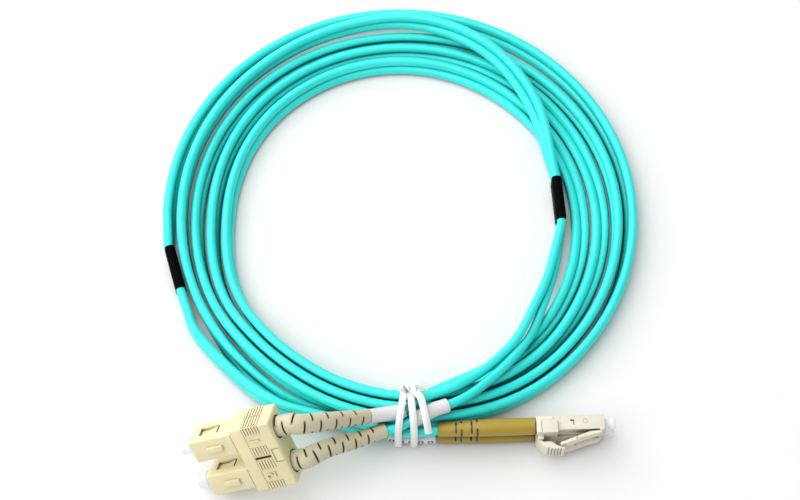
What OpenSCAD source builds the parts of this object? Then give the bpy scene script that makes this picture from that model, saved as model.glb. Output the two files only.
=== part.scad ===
// Duplex fiber optic patch cord: a zip cord wound in a tied coil, with a duplex
// push-pull plug on one end and a smaller duplex latching plug on the other.
// Millimetres. The origin is on the table, below the middle of the two plugs.

/* [Cable] */
// Diameter of one strand of the zip cord
strand_d = 3.0; // [2.8:0.05:3.05]
// Diameter of a single leg past the split
leg_d = 2.8; // [2.4:0.1:2.9]
// Thickness of the web that joins the two strands
web_t = 1.1; // [0.6:0.1:1.6]
// Outer radius of the coil
coil_r = 76; // [75:0.5:80]

/* [Split sleeves] */
// Length of the shrink sleeve over each split
sleeve_len = 15; // [13:0.5:17]
// Wall of the shrink sleeve
sleeve_wall = 0.4; // [0.3:0.05:0.5]

/* [Labels] */
// Length of a label tube on the push-pull plugs' legs
label_len = 11; // [8:0.5:12]
// Length of the label tube on a latching plug's leg
label_lc_len = 14; // [10:0.5:15]
// Outer diameter of a label tube on the push-pull plugs' legs
label_d = 4.3; // [3.9:0.1:4.5]
// Outer diameter of the label tube on a latching plug's leg
label_lc_d = 3.7; // [3.6:0.05:3.8]

/* [Twist tie] */
// Width of the ribbed tie
tie_w = 2.2; // [1.8:0.1:2.6]
// Thickness of the tie
tie_t = 1.1; // [0.8:0.05:1.2]

/* [Push-pull plug] */
// Distance between the two plugs
sc_pitch = 12.7; // [12:0.1:13.2]
// Width of one grip
sc_w = 7.4; // [7.2:0.1:7.8]
// Height of one grip
sc_h = 9.0; // [8.8:0.1:9.1]
// Length of one grip
sc_len = 21.6; // [20:0.2:23]
// Length of grip that stands out of the duplex clip
sc_exposed = 13.8; // [12.5:0.1:15]
// Wall of the grip
sc_wall = 0.75; // [0.6:0.05:0.85]
// Length of the duplex clip
sc_clip_len = 12.8; // [11:0.2:14]
// Thickness of the duplex clip
sc_clip_h = 10.0; // [9.9:0.1:11]
// Width of the duplex clip over both plugs
sc_clip_w = 22.8; // [22:0.2:25]
// Diameter of the ferrule
sc_ferrule_d = 2.5; // [2:0.05:2.8]
// Travel of the grip over the plug frame
sc_grip_travel = 2; // [1:0.1:2]

/* [Latching plug] */
// Distance between the two plugs
lc_pitch = 6.25; // [6:0.05:6.5]
// Width and height of the plug's nose
lc_nose = 4.5; // [4.3:0.05:4.7]
// Length of the housing
lc_len = 19.4; // [18.6:0.1:21]
// Diameter of the ferrule
lc_ferrule_d = 1.25; // [1:0.05:1.4]
// Width of the duplex clip over both plugs
lc_clip_w = 12.9; // [12.4:0.1:14]
// Width of a latch arm
lc_latch_w = 3.2; // [2.6:0.1:3.6]

/* [Boots] */
// Length of a push-pull plug's boot past the clip
sc_boot_len = 29.5; // [27:0.5:30]
// Diameter of that boot where it leaves the clip
sc_boot_d = 6.2; // [5.8:0.1:6.4]
// Diameter of that boot at its end
sc_boot_end_d = 4.4; // [4.1:0.1:4.8]
// Length of a latching plug's boot
lc_boot_len = 30.2; // [29:0.2:31]
// Diameter of that boot at the housing
lc_boot_d = 5.2; // [5.0:0.1:5.6]
// Diameter of that boot at its end
lc_boot_end_d = 4.2; // [4.1:0.1:4.6]

/* [Hidden] */

// The coil is laid out about its own centre, then the whole cord is moved so that
// the middle of the two plugs lies over the origin.
origin_shift = [0.2, 83.4, 0];

// Clearances
fit = 0.1;          // between sliding pieces, per side
seat = 0.05;        // between pieces that are pressed together
free = 0.35;        // between the clip's rings and the boots, per side

// Colours
aqua = [0.17, 0.90, 0.87];
beige = [0.90, 0.86, 0.71];
gold = [0.74, 0.64, 0.36];
white = [0.95, 0.95, 0.92];
clear = [0.93, 0.94, 0.93];
steel = [0.72, 0.73, 0.75];
zirconia = [0.96, 0.95, 0.92];
black = [0.03, 0.03, 0.04];
yarn = [0.85, 0.78, 0.40];

// ---- vectors and curves ----
function unit(v) = v / norm(v);
function rx(p, a) = [p.x, p.y*cos(a) - p.z*sin(a), p.y*sin(a) + p.z*cos(a)];
function ry(p, a) = [p.x*cos(a) + p.z*sin(a), p.y, -p.x*sin(a) + p.z*cos(a)];
function rz(p, a) = [p.x*cos(a) - p.y*sin(a), p.x*sin(a) + p.y*cos(a), p.z];
function place(p, at, turn) = at + rz(ry(rx(p, turn.x), turn.y), turn.z);
// A smooth curve through points P, n steps between two points
function knot(a, b, c, d, t) = 0.5*(2*b + (c - a)*t + (2*a - 5*b + 4*c - d)*t*t
    + (3*b - a - 3*c + d)*t*t*t);
function curve(P, n) = concat([for (i = [0:len(P) - 2]) for (k = [0:n - 1])
    knot(P[max(i - 1, 0)], P[i], P[i + 1], P[min(i + 2, len(P) - 1)], k/n)], [P[len(P) - 1]]);
function sums(P, i = 0, s = 0) = i == len(P) ? [] :
    let(q = i == 0 ? 0 : s + norm(P[i] - P[i - 1])) concat([q], sums(P, i + 1, q));
function point_at(P, S, s) = let(i = max([for (k = [0:len(P) - 2]) if (S[k] <= s) k]))
    P[i] + (P[i + 1] - P[i])*(s - S[i])/(S[i + 1] - S[i]);
// The part of path P from s0 to s1 along it
function stretch(P, s0, s1) = let(S = sums(P)) concat([point_at(P, S, s0)],
    [for (k = [0:len(P) - 1]) if (S[k] > s0 + 0.8 && S[k] < s1 - 0.8) P[k]], [point_at(P, S, s1)]);
function heading(P, i) = unit(P[min(i + 1, len(P) - 1)] - P[max(i - 1, 0)]);
// A flat outline q set square to direction t at c
function ring(c, t, q) = let(s = unit(cross([0, 0, 1], t)), u = cross(t, s))
    [for (p = q) c + p.x*s + p.y*u];
function polygon_of(n, r) = [for (k = [0:n - 1]) r*[cos(360*(k + 0.5)/n), sin(360*(k + 0.5)/n)]];

module rings_solid(R) {
    m = len(R[0]);
    n = len(R);
    polyhedron([for (r = R) for (p = r) p], concat(
        [for (j = [1:m - 2]) [0, j, j + 1]],
        [for (j = [1:m - 2]) [(n - 1)*m, (n - 1)*m + j + 1, (n - 1)*m + j]],
        [for (i = [0:n - 2]) for (j = [0:m - 1]) [i*m + j, (i + 1)*m + j, i*m + (j + 1) % m]],
        [for (i = [0:n - 2]) for (j = [0:m - 1])
            [i*m + (j + 1) % m, (i + 1)*m + j, (i + 1)*m + (j + 1) % m]]));
}
module round_tube(P, sides, d) {
    rings_solid([for (i = [0:len(P) - 1]) ring(P[i], heading(P, i), polygon_of(sides, d/2))]);
}

// ---- the coil ----
// Two strands side by side with a web between them, as a flat outline.
strand_off = strand_d/2;
function cord_outline(lean) = let(r = strand_d/2, o = strand_off,
    q = concat([for (a = [-110:55:110]) [o + r*cos(a), r*sin(a)]], [[0, web_t/2]],
        [for (a = [70:55:290]) [-o + r*cos(a), r*sin(a)]], [[0, -web_t/2]]))
    [for (p = q) [p.x*cos(lean) - p.y*sin(lean), p.x*sin(lean) + p.y*cos(lean)]];

// Winding: angle round the coil from the tie, distance in from the coil's outer
// radius, lift off the table, lean of the flat cord (0 lies flat, 90 stands on edge).
wind = [
    [90, 2.7, 0, 74], [135, 2.5, 0, 60], [180, 2.5, 0, 55], [225, 2.4, 0, 58], [270, 2.5, 0, 62],
    [315, 2.4, 0, 84], [330, 2.6, 0.9, 88], [345, 3.0, 3.9, 90],
    [360, 3.7, 5.1, 90], [375, 5.6, 4.6, 90], [390, 7.8, 3.8, 90], [405, 9.2, 3.0, 88], [420, 10, 0, 82],
    [450, 11.8, 0, 64], [495, 12, 0, 56], [540, 11.8, 0, 56], [585, 9, 0, 66], [630, 6.8, 0, 80],
    [675, 6.3, 0, 86], [690, 6.4, 0.9, 88], [705, 6.8, 3.9, 90],
    [720, 7.3, 5.1, 90], [735, 9.2, 4.6, 90], [750, 11.4, 3.8, 90], [765, 12.8, 3.0, 86], [780, 13.8, 0, 78],
    [810, 17, 0, 66], [855, 16.4, 0, 60], [900, 16, 0, 56], [945, 14.4, 0, 25], [990, 12, 0, -15],
    [1020, 11, 0, -50], [1035, 10.4, 0, -70], [1050, 10.3, 0.9, -84], [1065, 10.4, 4.1, -90],
    [1080, 10.9, 5.1, -90], [1095, 12.8, 4.6, -90], [1110, 15, 3.8, -92], [1125, 16.4, 3.0, -95], [1140, 18, 0, -102],
    [1170, 21.7, 0, -110], [1215, 21.6, 0, -118], [1260, 21.2, 0, -124], [1305, 20.7, 0, -160],
    [1335, 19.2, 0, -182], [1350, 18.5, 0, -190], [1380, 16.5, 0, -222], [1395, 15.4, 0, -226], [1410, 15.2, 0, -190], [1425, 14, 0.6, -180],
    [1440, 9.4, 1.4, -180], [1455, 5, 0.6, -180], [1470, 3.4, 0, -190], [1485, 4.9, 0, -248], [1500, 6.1, 0, -274],
    [1530, 7.1, 2.2, -275], [1575, 7.1, 2.6, -275], [1605, 7, 3.8, -280], [1620, 7.2, 5.2, -288],
    [1635, 9.2, 6.4, -310], [1650, 12.6, 6.6, -326], [1665, 17.2, 5.2, -328], [1680, 22.2, 4.4, -300]];
// Where the coil meets its legs: radius, angle, height of the middle
joint_l = [73.2, 73.5, 3.6];
joint_r = [50.9, 1706, 3.8];

function ring_at(R, a, z) = [-R*sin(a), -R*cos(a), z];
function slope(K, i) = i == 0 ? (K[1] - K[0])/(K[1][0] - K[0][0])
    : i == len(K) - 1 ? (K[i] - K[i - 1])/(K[i][0] - K[i - 1][0])
    : (K[i + 1] - K[i - 1])/(K[i + 1][0] - K[i - 1][0]);
function key_at(K, a) = let(i = max([for (k = [0:len(K) - 2]) if (K[k][0] <= a) k]),
    h = K[i + 1][0] - K[i][0], t = (a - K[i][0])/h)
    (2*t*t*t - 3*t*t + 1)*K[i] + (t*t*t - 2*t*t + t)*h*slope(K, i)
    + (3*t*t - 2*t*t*t)*K[i + 1] + (t*t*t - t*t)*h*slope(K, i + 1);
// [middle, lean] at an angle of the winding
function turn_at(a) = let(k = key_at(wind, a))
    [ring_at(coil_r - k[1], a, strand_d/2 + strand_off*abs(sin(k[3])) + max(0, k[2])), k[3]];
function tangent_at(a) = [-cos(a), sin(a), 0];
end_run = sleeve_len/2 + 1;     // straight run of the coil's ends inside the sleeves
end_l = ring_at(joint_l[0], joint_l[1], joint_l[2]);
end_r = ring_at(joint_r[0], joint_r[1], joint_r[2]);
run_l = tangent_at(joint_l[1]);
run_r = tangent_at(joint_r[1]);
coil_path = concat([[end_l, 90], [end_l + end_run*run_l, 84]],
    [for (a = [90:15:1680]) turn_at(a)],
    [[end_r - end_run*run_r, -268], [end_r, -270]]);
coil_mid = [for (k = coil_path) k[0]];

// Least gap of the coil to itself, from points along its two strands
function lerp(a, b, t) = a + (b - a)*t;
strand_pts = [for (i = [0:len(coil_path) - 2]) for (t = [0:0.25:0.75])
    let(c = lerp(coil_path[i][0], coil_path[i + 1][0], t),
        w = lerp(coil_path[i][1], coil_path[i + 1][1], t),
        s = unit(cross([0, 0, 1], heading(coil_mid, i))))
    [c + strand_off*(cos(w)*s + [0, 0, sin(w)]), c - strand_off*(cos(w)*s + [0, 0, sin(w)])]];
coil_gap = min([for (i = [0:len(strand_pts) - 1]) for (k = [1:4]) for (j = [i + 96*k - 6:i + 96*k + 6])
    if (j > i + 40 && j < len(strand_pts)) min([for (a = strand_pts[i]) for (b = strand_pts[j]) norm(a - b)])]) - strand_d;
echo("least gap of the coil to itself, mm", coil_gap);

// ---- where the plugs lie ----
sc_turn = [-55, 23, 184];
// The near corner of the front face rests on the table
sc_low = place([0, sc_pitch/2 + sc_w/2, -sc_h/2], [0, 0, 0], sc_turn).z;
sc_at = [-57.1, -85.8, -sc_low];
lc_turn = [90, 0, 2.2];
lc_at = [60.9, -74, lc_clip_w/2];
function on_sc(x, s) = place([x, s*sc_pitch/2, 0], sc_at, sc_turn);
function on_lc(x, s) = place([x, s*lc_pitch/2, 0], lc_at, lc_turn);
module at_sc(s) {
    translate(sc_at) rotate(sc_turn) translate([0, s*sc_pitch/2, 0]) children();
}
module at_lc(s) {
    translate(lc_at) rotate(lc_turn) translate([0, s*lc_pitch/2, 0]) children();
}

// ---- the four legs ----
leg_off = strand_d/2;
up = [0, 0, leg_off];
// Push-pull plug A: boot, label, over the tied turns, down inside the coil
sc_a_pts = [[-27.9, -80.5, 26.7], [-20.4, -78.5, 23.8], [-14.4, -76.4, 20.2], [-9, -74.5, 16.9],
    [-3.5, -72.9, 14.9], [1.5, -71.6, 14.1], [5, -68.5, 13.6], [11, -65.9, 13.1], [18, -62.7, 12.3],
    [24.5, -57.7, 9.8], [31.5, -50.9, 8.2], [36.6, -44.8, 8.5], [41.4, -35.3, 8.3], [45.5, -26.1, 6.8], [48.5, -16, 5.6]];
sc_b_pts = [[-20.9, -84.4, 17.2], [-12.9, -81.2, 15], [-5, -77.5, 12.5], [0, -76.1, 12.6], [6.5, -73.2, 13.8],
    [10.5, -71.1, 13.8], [15, -69.4, 13.4], [20.5, -66.2, 12.3], [25.5, -62, 11], [33, -54, 8.4],
    [40, -44.5, 6.6], [44.2, -34.5, 6.1], [47.7, -24, 3.4], [50, -14, 2.5]];
lc_a_pts = [[7.5, -76.4, 9], [0, -76.2, 7.9], [-8, -74.2, 7.7], [-16, -72.3, 7.7], [-27, -69.6, 7.6],
    [-37, -66.1, 7.1], [-48.5, -57.4, 5.2], [-62, -43, 4.7], [-66, -34, 4.9]];
lc_b_pts = [[7.5, -76.1, 3.4], [0, -75.9, 3.6], [-8, -74.8, 4.2], [-16, -73, 4.6], [-27, -70.4, 4.6],
    [-37, -66.9, 4.1], [-48.5, -57.9, 2.2], [-62, -43.2, 1.7], [-66, -34, 1.8]];

sc_crimp_x = -28.2;     // where a push-pull plug's leg starts, inside the crimp
lc_crimp_x = -27.2;     // where a latching plug's leg starts
sc_boot_x = -sc_len - sc_grip_travel - 0.3;     // front of the boot, clear of the grip when it slides
sc_boot_end_s = sc_exposed + sc_clip_len + sc_boot_len + sc_crimp_x;   // end of the boot, along the leg
lc_boot_x = -lc_len - 1;
function sc_leg(s, pts, o) = concat([on_sc(sc_crimp_x, s), on_sc(sc_crimp_x - 2.6, s)],
    pts, [end_r + end_run*run_r + o, end_r + o]);
function lc_leg(s, pts, o) = concat([on_lc(lc_crimp_x, s)], curve(concat([on_lc(-lc_len - lc_boot_len + 2, s)],
    pts, [end_l - end_run*run_l + o]), 2), [end_l + o]);

module cord_coil() {
    color(aqua) rings_solid([for (i = [0:len(coil_path) - 1])
        ring(coil_path[i][0], heading(coil_mid, i), cord_outline(coil_path[i][1]))]);
}
module leg(P) { color(aqua) round_tube(P, 8, leg_d); }
sc_leg_a = sc_leg(-1, sc_a_pts, up);
sc_leg_b = sc_leg(1, sc_b_pts, -up);
lc_leg_a = lc_leg(1, lc_a_pts, up);
lc_leg_b = lc_leg(-1, lc_b_pts, -up);

// A flat heat-shrink sleeve over the split, standing on edge
module stadium(l, w) {
    square([l - w, w], center = true);
    for (k = [-1, 1]) translate([k*(l - w)/2, 0]) circle(d = w, $fn = 32);
}
module split_sleeve(c, angle) {
    color(black) translate(c) rotate([0, 0, 180 - angle]) rotate([0, 90, 0])
        translate([0, 0, -sleeve_len/2]) linear_extrude(sleeve_len) difference() {
            stadium(2*strand_d + 2*fit + 2*sleeve_wall, strand_d + 2*fit + 2*sleeve_wall);
            stadium(2*strand_d + 2*fit, strand_d + 2*fit);
        }
}

// A label is a short tube round its leg, from s along the leg
module label(P, s, l, d) {
    S = stretch(P, s, s + l);
    n = len(S);
    color(white) difference() {
        round_tube(S, 10, d);
        round_tube(concat([S[0] + (S[0] - S[1])*0.2], [for (i = [1:n - 2]) S[i]],
            [S[n - 1] + (S[n - 1] - S[n - 2])*0.2]), 8, leg_d + 4*fit);
    }
}

// ---- twist tie ----
// One wrap round the tied bundle: distance from the coil's centre and height
tie_loop = [[60.6, 1.6], [60.7, 4.6], [62.6, 11.4], [66.4, 16], [70.4, 17.4], [75.4, 16.8], [78.3, 13.4],
    [78.8, 9], [78.9, 2.2], [77.8, 0.7], [70, 0.66], [61.4, 0.7]];
tie_mid = [3, -70.5, 8];
tie_wraps = [[1.7, -0.1], [3.9, 0.06]];     // where each wrap starts on top, and its slant
tie_tails = [[[3.4, -66.4, 17.3], [5.2, -69.4, 17.8], [6.4, -72.6, 17.7], [7.6, -76.8, 15.3], [8.6, -78.9, 11.6]],
    [[2.6, -66, 17.2], [3.4, -64.6, 17.6], [5.6, -63.8, 17.3], [8.4, -64.8, 16.4]]];
function ribbon_ring(c, d, up, w, t) = let(a = unit(cross(up, d)), n = cross(d, a))
    [c + a*w/2 + n*t/2, c - a*w/2 + n*t/2, c - a*w/2 - n*t/2, c + a*w/2 - n*t/2];
module rings_loop(R) {
    m = len(R[0]);
    n = len(R);
    polyhedron([for (r = R) for (p = r) p], concat(
        [for (i = [0:n - 1]) for (j = [0:m - 1]) [i*m + j, ((i + 1) % n)*m + j, i*m + (j + 1) % m]],
        [for (i = [0:n - 1]) for (j = [0:m - 1])
            [i*m + (j + 1) % m, ((i + 1) % n)*m + j, ((i + 1) % n)*m + (j + 1) % m]]));
}
module twist_tie() {
    n = len(tie_loop);
    color(white) {
        for (w = tie_wraps) {
            P = [for (q = tie_loop) [w[0] + w[1]*(q[0] - 64), -q[0], q[1] + (tie_t - 1.1)/2]];
            rings_loop([for (i = [0:n - 1]) ribbon_ring(P[i], unit(P[(i + 1) % n] - P[(i + n - 1) % n]), [0, P[i].y - tie_mid.y, P[i].z - tie_mid.z], tie_w, tie_t)]);
        }
        for (T = tie_tails) rings_solid([for (i = [0:len(T) - 1]) ribbon_ring(T[i], heading(T, i), [0, -0.2, 1], tie_w, tie_t)]);
        // The knot, a short fat twist over both wraps
        K = [[0.7, -65.6, 16.3], [1.4, -65.7, 16.5], [2.8, -66, 16.8], [4.2, -66.4, 17], [4.9, -66.5, 17]];
        r = [0.5, 1.3, 1.6, 1.3, 0.5];
        rings_solid([for (i = [0:4]) ring(K[i], heading(K, i), [for (a = [0:60:300]) r[i]*[cos(a + 24*i), sin(a + 24*i)]])]);
    }
}

// ---- small shapes along X ----
hidden_fn = 12;     // facets of round pieces that nothing turns on and no eye sees
module xcyl(x0, x1, d, n = 40) { translate([x0, 0, 0]) rotate([0, 90, 0]) cylinder(h = x1 - x0, d = d, $fn = n); }
module ycyl(y0, y1, d) { translate([0, y0, 0]) rotate([-90, 0, 0]) cylinder(h = y1 - y0, d = d, $fn = 32); }
module tube(x0, x1, od, id, n = 40) { difference() { xcyl(x0, x1, od, n); xcyl(x0 - 1, x1 + 1, id, n); } }
module bar(x0, x1, w, h) { translate([x0, -w/2, -h/2]) cube([x1 - x0, w, h]); }
// A bar with rounded long edges
module rbar(x0, x1, w, h, r) {
    translate([x0, 0, 0]) rotate([90, 0, 90]) linear_extrude(x1 - x0) union() {
        square([w - 2*r, h], center = true);
        square([w, h - 2*r], center = true);
        for (a = [-1, 1]) for (b = [-1, 1]) translate([a*(w/2 - r), b*(h/2 - r)]) circle(r = r, $fn = 24);
    }
}
// A close-wound compression spring along X, as one unbroken wire
module coil_spring(x0, x1, od, wire, turns) {
    r = (od - wire)/2;
    pitch = (x1 - x0 - wire)/turns;
    P = [for (i = [0:8*turns]) [x0 + wire/2 + pitch*i/8, r*cos(45*i), r*sin(45*i)]];
    rings_solid([for (i = [0:len(P) - 1]) let(d = heading(P, i), o = unit([0, P[i].y, P[i].z]), n = unit(cross(o, d)))
        [for (a = [0:60:300]) P[i] + wire/2*(cos(a)*o - sin(a)*n)]]);
}

// ---- push-pull plug ----
sc_in_w = sc_w - 2*sc_wall;             // inside of the grip
sc_in_h = sc_h - 2*sc_wall;
sc_frame_w = sc_in_w - 2*fit;           // frame that slides in it
sc_frame_h = sc_in_h - 2*fit;
sc_frame_x0 = -sc_len + 1.1;            // rear of the frame
sc_frame_x1 = -0.8;                     // front of the frame
sc_stop = -9.8;                         // wall that holds the ferrule's flange
sc_stop_t = 1.2;
sc_chamber_d = sc_frame_w - 0.8;        // round chamber behind that wall
sc_key_x = -7.2;
sc_key = [5.5, 1.9, 0.9];
sc_window = [-9, -2.8];
sc_window_h = 3.6;
sc_ramp = [-8.4, -5.6];
sc_plug_x = -sc_len + 3.9;              // front of the body's round plug
sc_tube_x = -28;                        // rear of the body's tube
sc_tube_d = 3.4;
sc_crimp_wall = 0.45;

module sc_housing() {
    color(beige) difference() {
        union() {
            rbar(-sc_len, 0, sc_w, sc_h, 0.5);
            translate([sc_key_x - sc_key.x/2, -sc_key.y/2, sc_h/2 - 0.3]) cube([sc_key.x - sc_key.y/2, sc_key.y, sc_key.z + 0.3]);
            translate([sc_key_x + sc_key.x/2 - sc_key.y/2, 0, sc_h/2 - 0.3]) cylinder(h = sc_key.z + 0.3, d = sc_key.y, $fn = 32);
        }
        bar(-sc_len - 1, 1, sc_in_w, sc_in_h);
        translate([sc_window[0], -sc_w, -sc_window_h/2]) cube([sc_window[1] - sc_window[0], 2*sc_w, sc_window_h]);
    }
}
module sc_frame() {
    color(beige) {
        difference() {
            bar(sc_frame_x0, sc_frame_x1, sc_frame_w, sc_frame_h);
            bar(sc_stop + sc_stop_t, 1, sc_frame_w - 1.3, sc_frame_h - 1.2);
            xcyl(sc_stop - 1, 1, sc_ferrule_d + 4*fit, hidden_fn);
            xcyl(sc_frame_x0 - 1, sc_stop, sc_chamber_d, hidden_fn);
        }
        for (k = [-1, 1]) scale([1, k, 1]) translate([0, 0, -sc_window_h/2 + 2*fit]) linear_extrude(sc_window_h - 4*fit)
            polygon([[sc_ramp[0], sc_frame_w/2 - 0.3], [sc_ramp[1], sc_frame_w/2 - 0.3], [sc_ramp[1], sc_frame_w/2],
                [sc_ramp[0] + 0.6, sc_frame_w/2 + sc_wall - fit], [sc_ramp[0], sc_frame_w/2 + sc_wall - fit]]);
    }
}
sc_flange_x = sc_stop - fit;            // front of the ferrule's flange
sc_flange_l = 3;
sc_tail_x = -18;
module sc_ferrule() {
    color(zirconia) {
        xcyl(sc_flange_x - 1, 0.6, sc_ferrule_d);
        xcyl(sc_flange_x - sc_flange_l, sc_flange_x, sc_chamber_d - 4*fit, hidden_fn);
        xcyl(sc_tail_x, sc_flange_x - sc_flange_l + 0.5, 2.0, hidden_fn);
    }
}
module sc_spring() {
    color(steel) coil_spring(sc_plug_x + fit, sc_flange_x - sc_flange_l - fit, sc_chamber_d - 4*fit, 0.7, 5);
}
module sc_body() {
    color(steel) difference() {
        union() {
            xcyl(sc_frame_x0, sc_plug_x, sc_chamber_d - 2*fit, hidden_fn);
            bar(sc_frame_x0 - 0.8, sc_frame_x0, sc_frame_w, sc_frame_h);
            xcyl(sc_tube_x, sc_frame_x0, sc_tube_d, hidden_fn);
        }
        xcyl(sc_tube_x - 1, 0, 2.4, hidden_fn);
    }
}
module sc_crimp() {
    color(steel) tube(sc_crimp_x - 1.8, -sc_len - 0.6, sc_crimp_d, sc_tube_d + 2*seat, hidden_fn);
}
module sc_fibre() { color(yarn) xcyl(sc_crimp_x + 1.2, sc_tail_x, 0.9, hidden_fn); }
sc_crimp_d = sc_tube_d + 2*fit + 2*sc_crimp_wall;
sc_slot_s = [0, 3, 4.8];                // first slot along the boot, on plug A and on B
sc_slot_step = [0, 2.37, 2.06];
// A boot follows its leg: straight out of the clip, then along the leg
function sc_boot_path(s, P) = let(Q = concat([on_sc(sc_boot_x, s)], [on_sc(sc_crimp_x - 2.6, s)],
    [for (i = [2:len(P) - 1]) P[i]])) stretch(Q, 0, sc_boot_x + sc_exposed + sc_clip_len + sc_boot_len);
module sc_boot(s, P) {
    Q = sc_boot_path(s, P);
    S = sums(Q);
    total = S[len(S) - 1];
    R = [for (i = [0:len(Q) - 1]) lerp(sc_boot_d, sc_boot_end_d, max(0, (S[i] - 7)/(total - 7)))/2];
    color(beige) difference() {
        rings_solid([for (i = [0:len(Q) - 1]) ring(Q[i], heading(Q, i), polygon_of(10, R[i]))]);
        round_tube([for (i = [0:len(Q) - 1]) Q[i] + (i == 0 ? Q[0] - Q[1] : i == len(Q) - 1 ? Q[i] - Q[i - 1] : [0, 0, 0])*0.3], 8, leg_d + 4*fit);
        at_sc(s) xcyl(sc_crimp_x - 2, 0, sc_crimp_d + 2*fit, hidden_fn);
        // Slots from the side and from the key side in turn
        n = s < 0 ? 1 : 2;
        for (k = [0:11]) {
            at = sc_slot_s[n] + k*sc_slot_step[n];
            c = point_at(Q, S, at);
            h = max([for (i = [0:len(Q) - 2]) if (S[i] < at) i]);
            d = unit(Q[h + 1] - Q[h]);
            aim = (k + n) % 2 == 1 ? place([0, -1, 0], [0, 0, 0], sc_turn) : place([0, 0, 1], [0, 0, 0], sc_turn);
            v = unit(cross(d, aim));
            l = cross(v, d);
            r = lerp(sc_boot_d, sc_boot_end_d, max(0, (at - 7)/(total - 7)))/2;
            multmatrix([[d.x, l.x, v.x, c.x], [d.y, l.y, v.y, c.y], [d.z, l.z, v.z, c.z], [0, 0, 0, 1]])
                translate([-0.25, 0.58*r, -4]) cube([0.5, 6, 8]);
        }
    }
}
module sc_cap() {
    color(clear) difference() {
        union() {
            xcyl(-5.2, 4.7, sc_frame_w - 1.3 - 2*fit);
            xcyl(1.4, 4.7, 5);
        }
        xcyl(-6, 1.2, sc_ferrule_d + 3*seat, hidden_fn);
    }
}
// Duplex clip: two halves that close over both grips
sc_clip_x1 = -sc_exposed;
sc_clip_x0 = -sc_exposed - sc_clip_len;
module sc_clip_half(k) {
    z0 = k > 0 ? 0.02 : -sc_clip_h/2;
    color(beige) difference() {
        intersection() {
            rbar(sc_clip_x0, sc_clip_x1, sc_clip_w, sc_clip_h, 0.6);
            translate([sc_clip_x0 - 1, -sc_clip_w, z0]) cube([sc_clip_len + 2, 2*sc_clip_w, sc_clip_h/2 - 0.02]);
        }
        for (s = [-1, 1]) translate([0, s*sc_pitch/2, 0]) {
            bar(-sc_len - seat, sc_clip_x1 + 1, sc_w + 2*seat, sc_h + 2*seat);
            xcyl(sc_clip_x0 - 1, sc_clip_x1, sc_boot_d + 2*free);
        }
        // Panels sunk in the face, with raised ribs left between them
        translate([sc_clip_x0 + 1.2, 0, k*sc_clip_h/2]) {
            for (s = [-1, 1]) translate([0, s*(sc_clip_w/4 - 0.1), 0])
                translate([0, -sc_clip_w/8, -0.15]) cube([sc_clip_len - 3, sc_clip_w/4, 0.3]);
            translate([sc_clip_len/2 - 3.6, -0.4, -0.15]) cube([4.8, 0.8, 0.3]);
        }
    }
}

// ---- latching plug ----
lc_bore = 3.3;                          // round mouth round the ferrule
lc_chamber_d = 3.4;
lc_stop = -7.4;
lc_stop_t = 1.0;
lc_hinge = [-1.1, lc_nose/2 + 0.15];    // latch root
lc_pin_r = 0.45;
lc_arm = [[0.3, 0], [-3.4, 0.35], [-12.4, 3.5]];   // underside of the latch arm, from its root
lc_arm_t = 1.1;                         // thickness of the latch arm
lc_tube_x = -26.8;
lc_tube_d = 2.6;
lc_plug_x = -15.6;
lc_crimp_d = lc_tube_d + 1.1;
module lc_housing() {
    color(beige) difference() {
        union() {
            rbar(-lc_len, 0, lc_nose, lc_nose, 0.25);
            translate([lc_hinge[0] - 1, -lc_nose/2, lc_nose/2 - 0.3]) cube([1.9, lc_nose, 0.5]);
        }
        xcyl(lc_stop + lc_stop_t, 1, lc_bore);
        xcyl(lc_stop - 1, 1, lc_ferrule_d + 3*fit, hidden_fn);
        xcyl(-lc_len - 1, lc_stop, lc_chamber_d, hidden_fn);
        translate([lc_hinge[0], 0, lc_hinge[1]]) ycyl(-lc_nose, lc_nose, 2*lc_pin_r + fit);
        translate([lc_hinge[0] - 3, -lc_nose, lc_nose/2]) cube([3, 2*lc_nose, 1]);
    }
}
module lc_latch() {
    slope = unit(lc_arm[2] - lc_arm[1]);
    off = lc_arm_t*[slope.y, -slope.x];     // square to the sloping stretch, outwards
    tip = lc_arm[2];
    color(beige) translate([lc_hinge[0], 0, lc_hinge[1]]) {
        ycyl(-lc_nose/2 + 0.3, lc_nose/2 - 0.3, 2*lc_pin_r);
        difference() {
            union() {
                translate([0, lc_latch_w/2, 0]) rotate([90, 0, 0]) linear_extrude(lc_latch_w)
                    polygon([lc_arm[0], lc_arm[1], tip, tip + 0.65*off, lc_arm[1] + [0, lc_arm_t], lc_arm[0] + [0, lc_arm_t - 0.4]]);
                // Shoulders that catch in the adapter
                translate([0, lc_latch_w/2 + 0.25, 0]) rotate([90, 0, 0]) linear_extrude(lc_latch_w + 0.5)
                    polygon([lc_arm[1] + 1.6*slope, lc_arm[1] + 3.4*slope, lc_arm[1] + 3.4*slope + off, lc_arm[1] + 1.6*slope + off]);
            }
            // Notch in the upper edge, towards the tip
            translate([tip.x - 1, lc_latch_w/2 - 0.5, -1]) cube([6, 1, 8]);
        }
    }
}
module lc_ferrule() {
    color(zirconia) {
        xcyl(lc_stop - 0.9, 0.5, lc_ferrule_d);
        xcyl(lc_stop - fit - 2, lc_stop - fit, lc_chamber_d - 2*fit, hidden_fn);
        xcyl(-15, lc_stop - 1.9, 1.6, hidden_fn);
    }
}
module lc_spring() { color(steel) coil_spring(lc_plug_x + fit, lc_stop - 2 - 2*fit, lc_chamber_d - 3*fit, 0.5, 6); }
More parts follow.
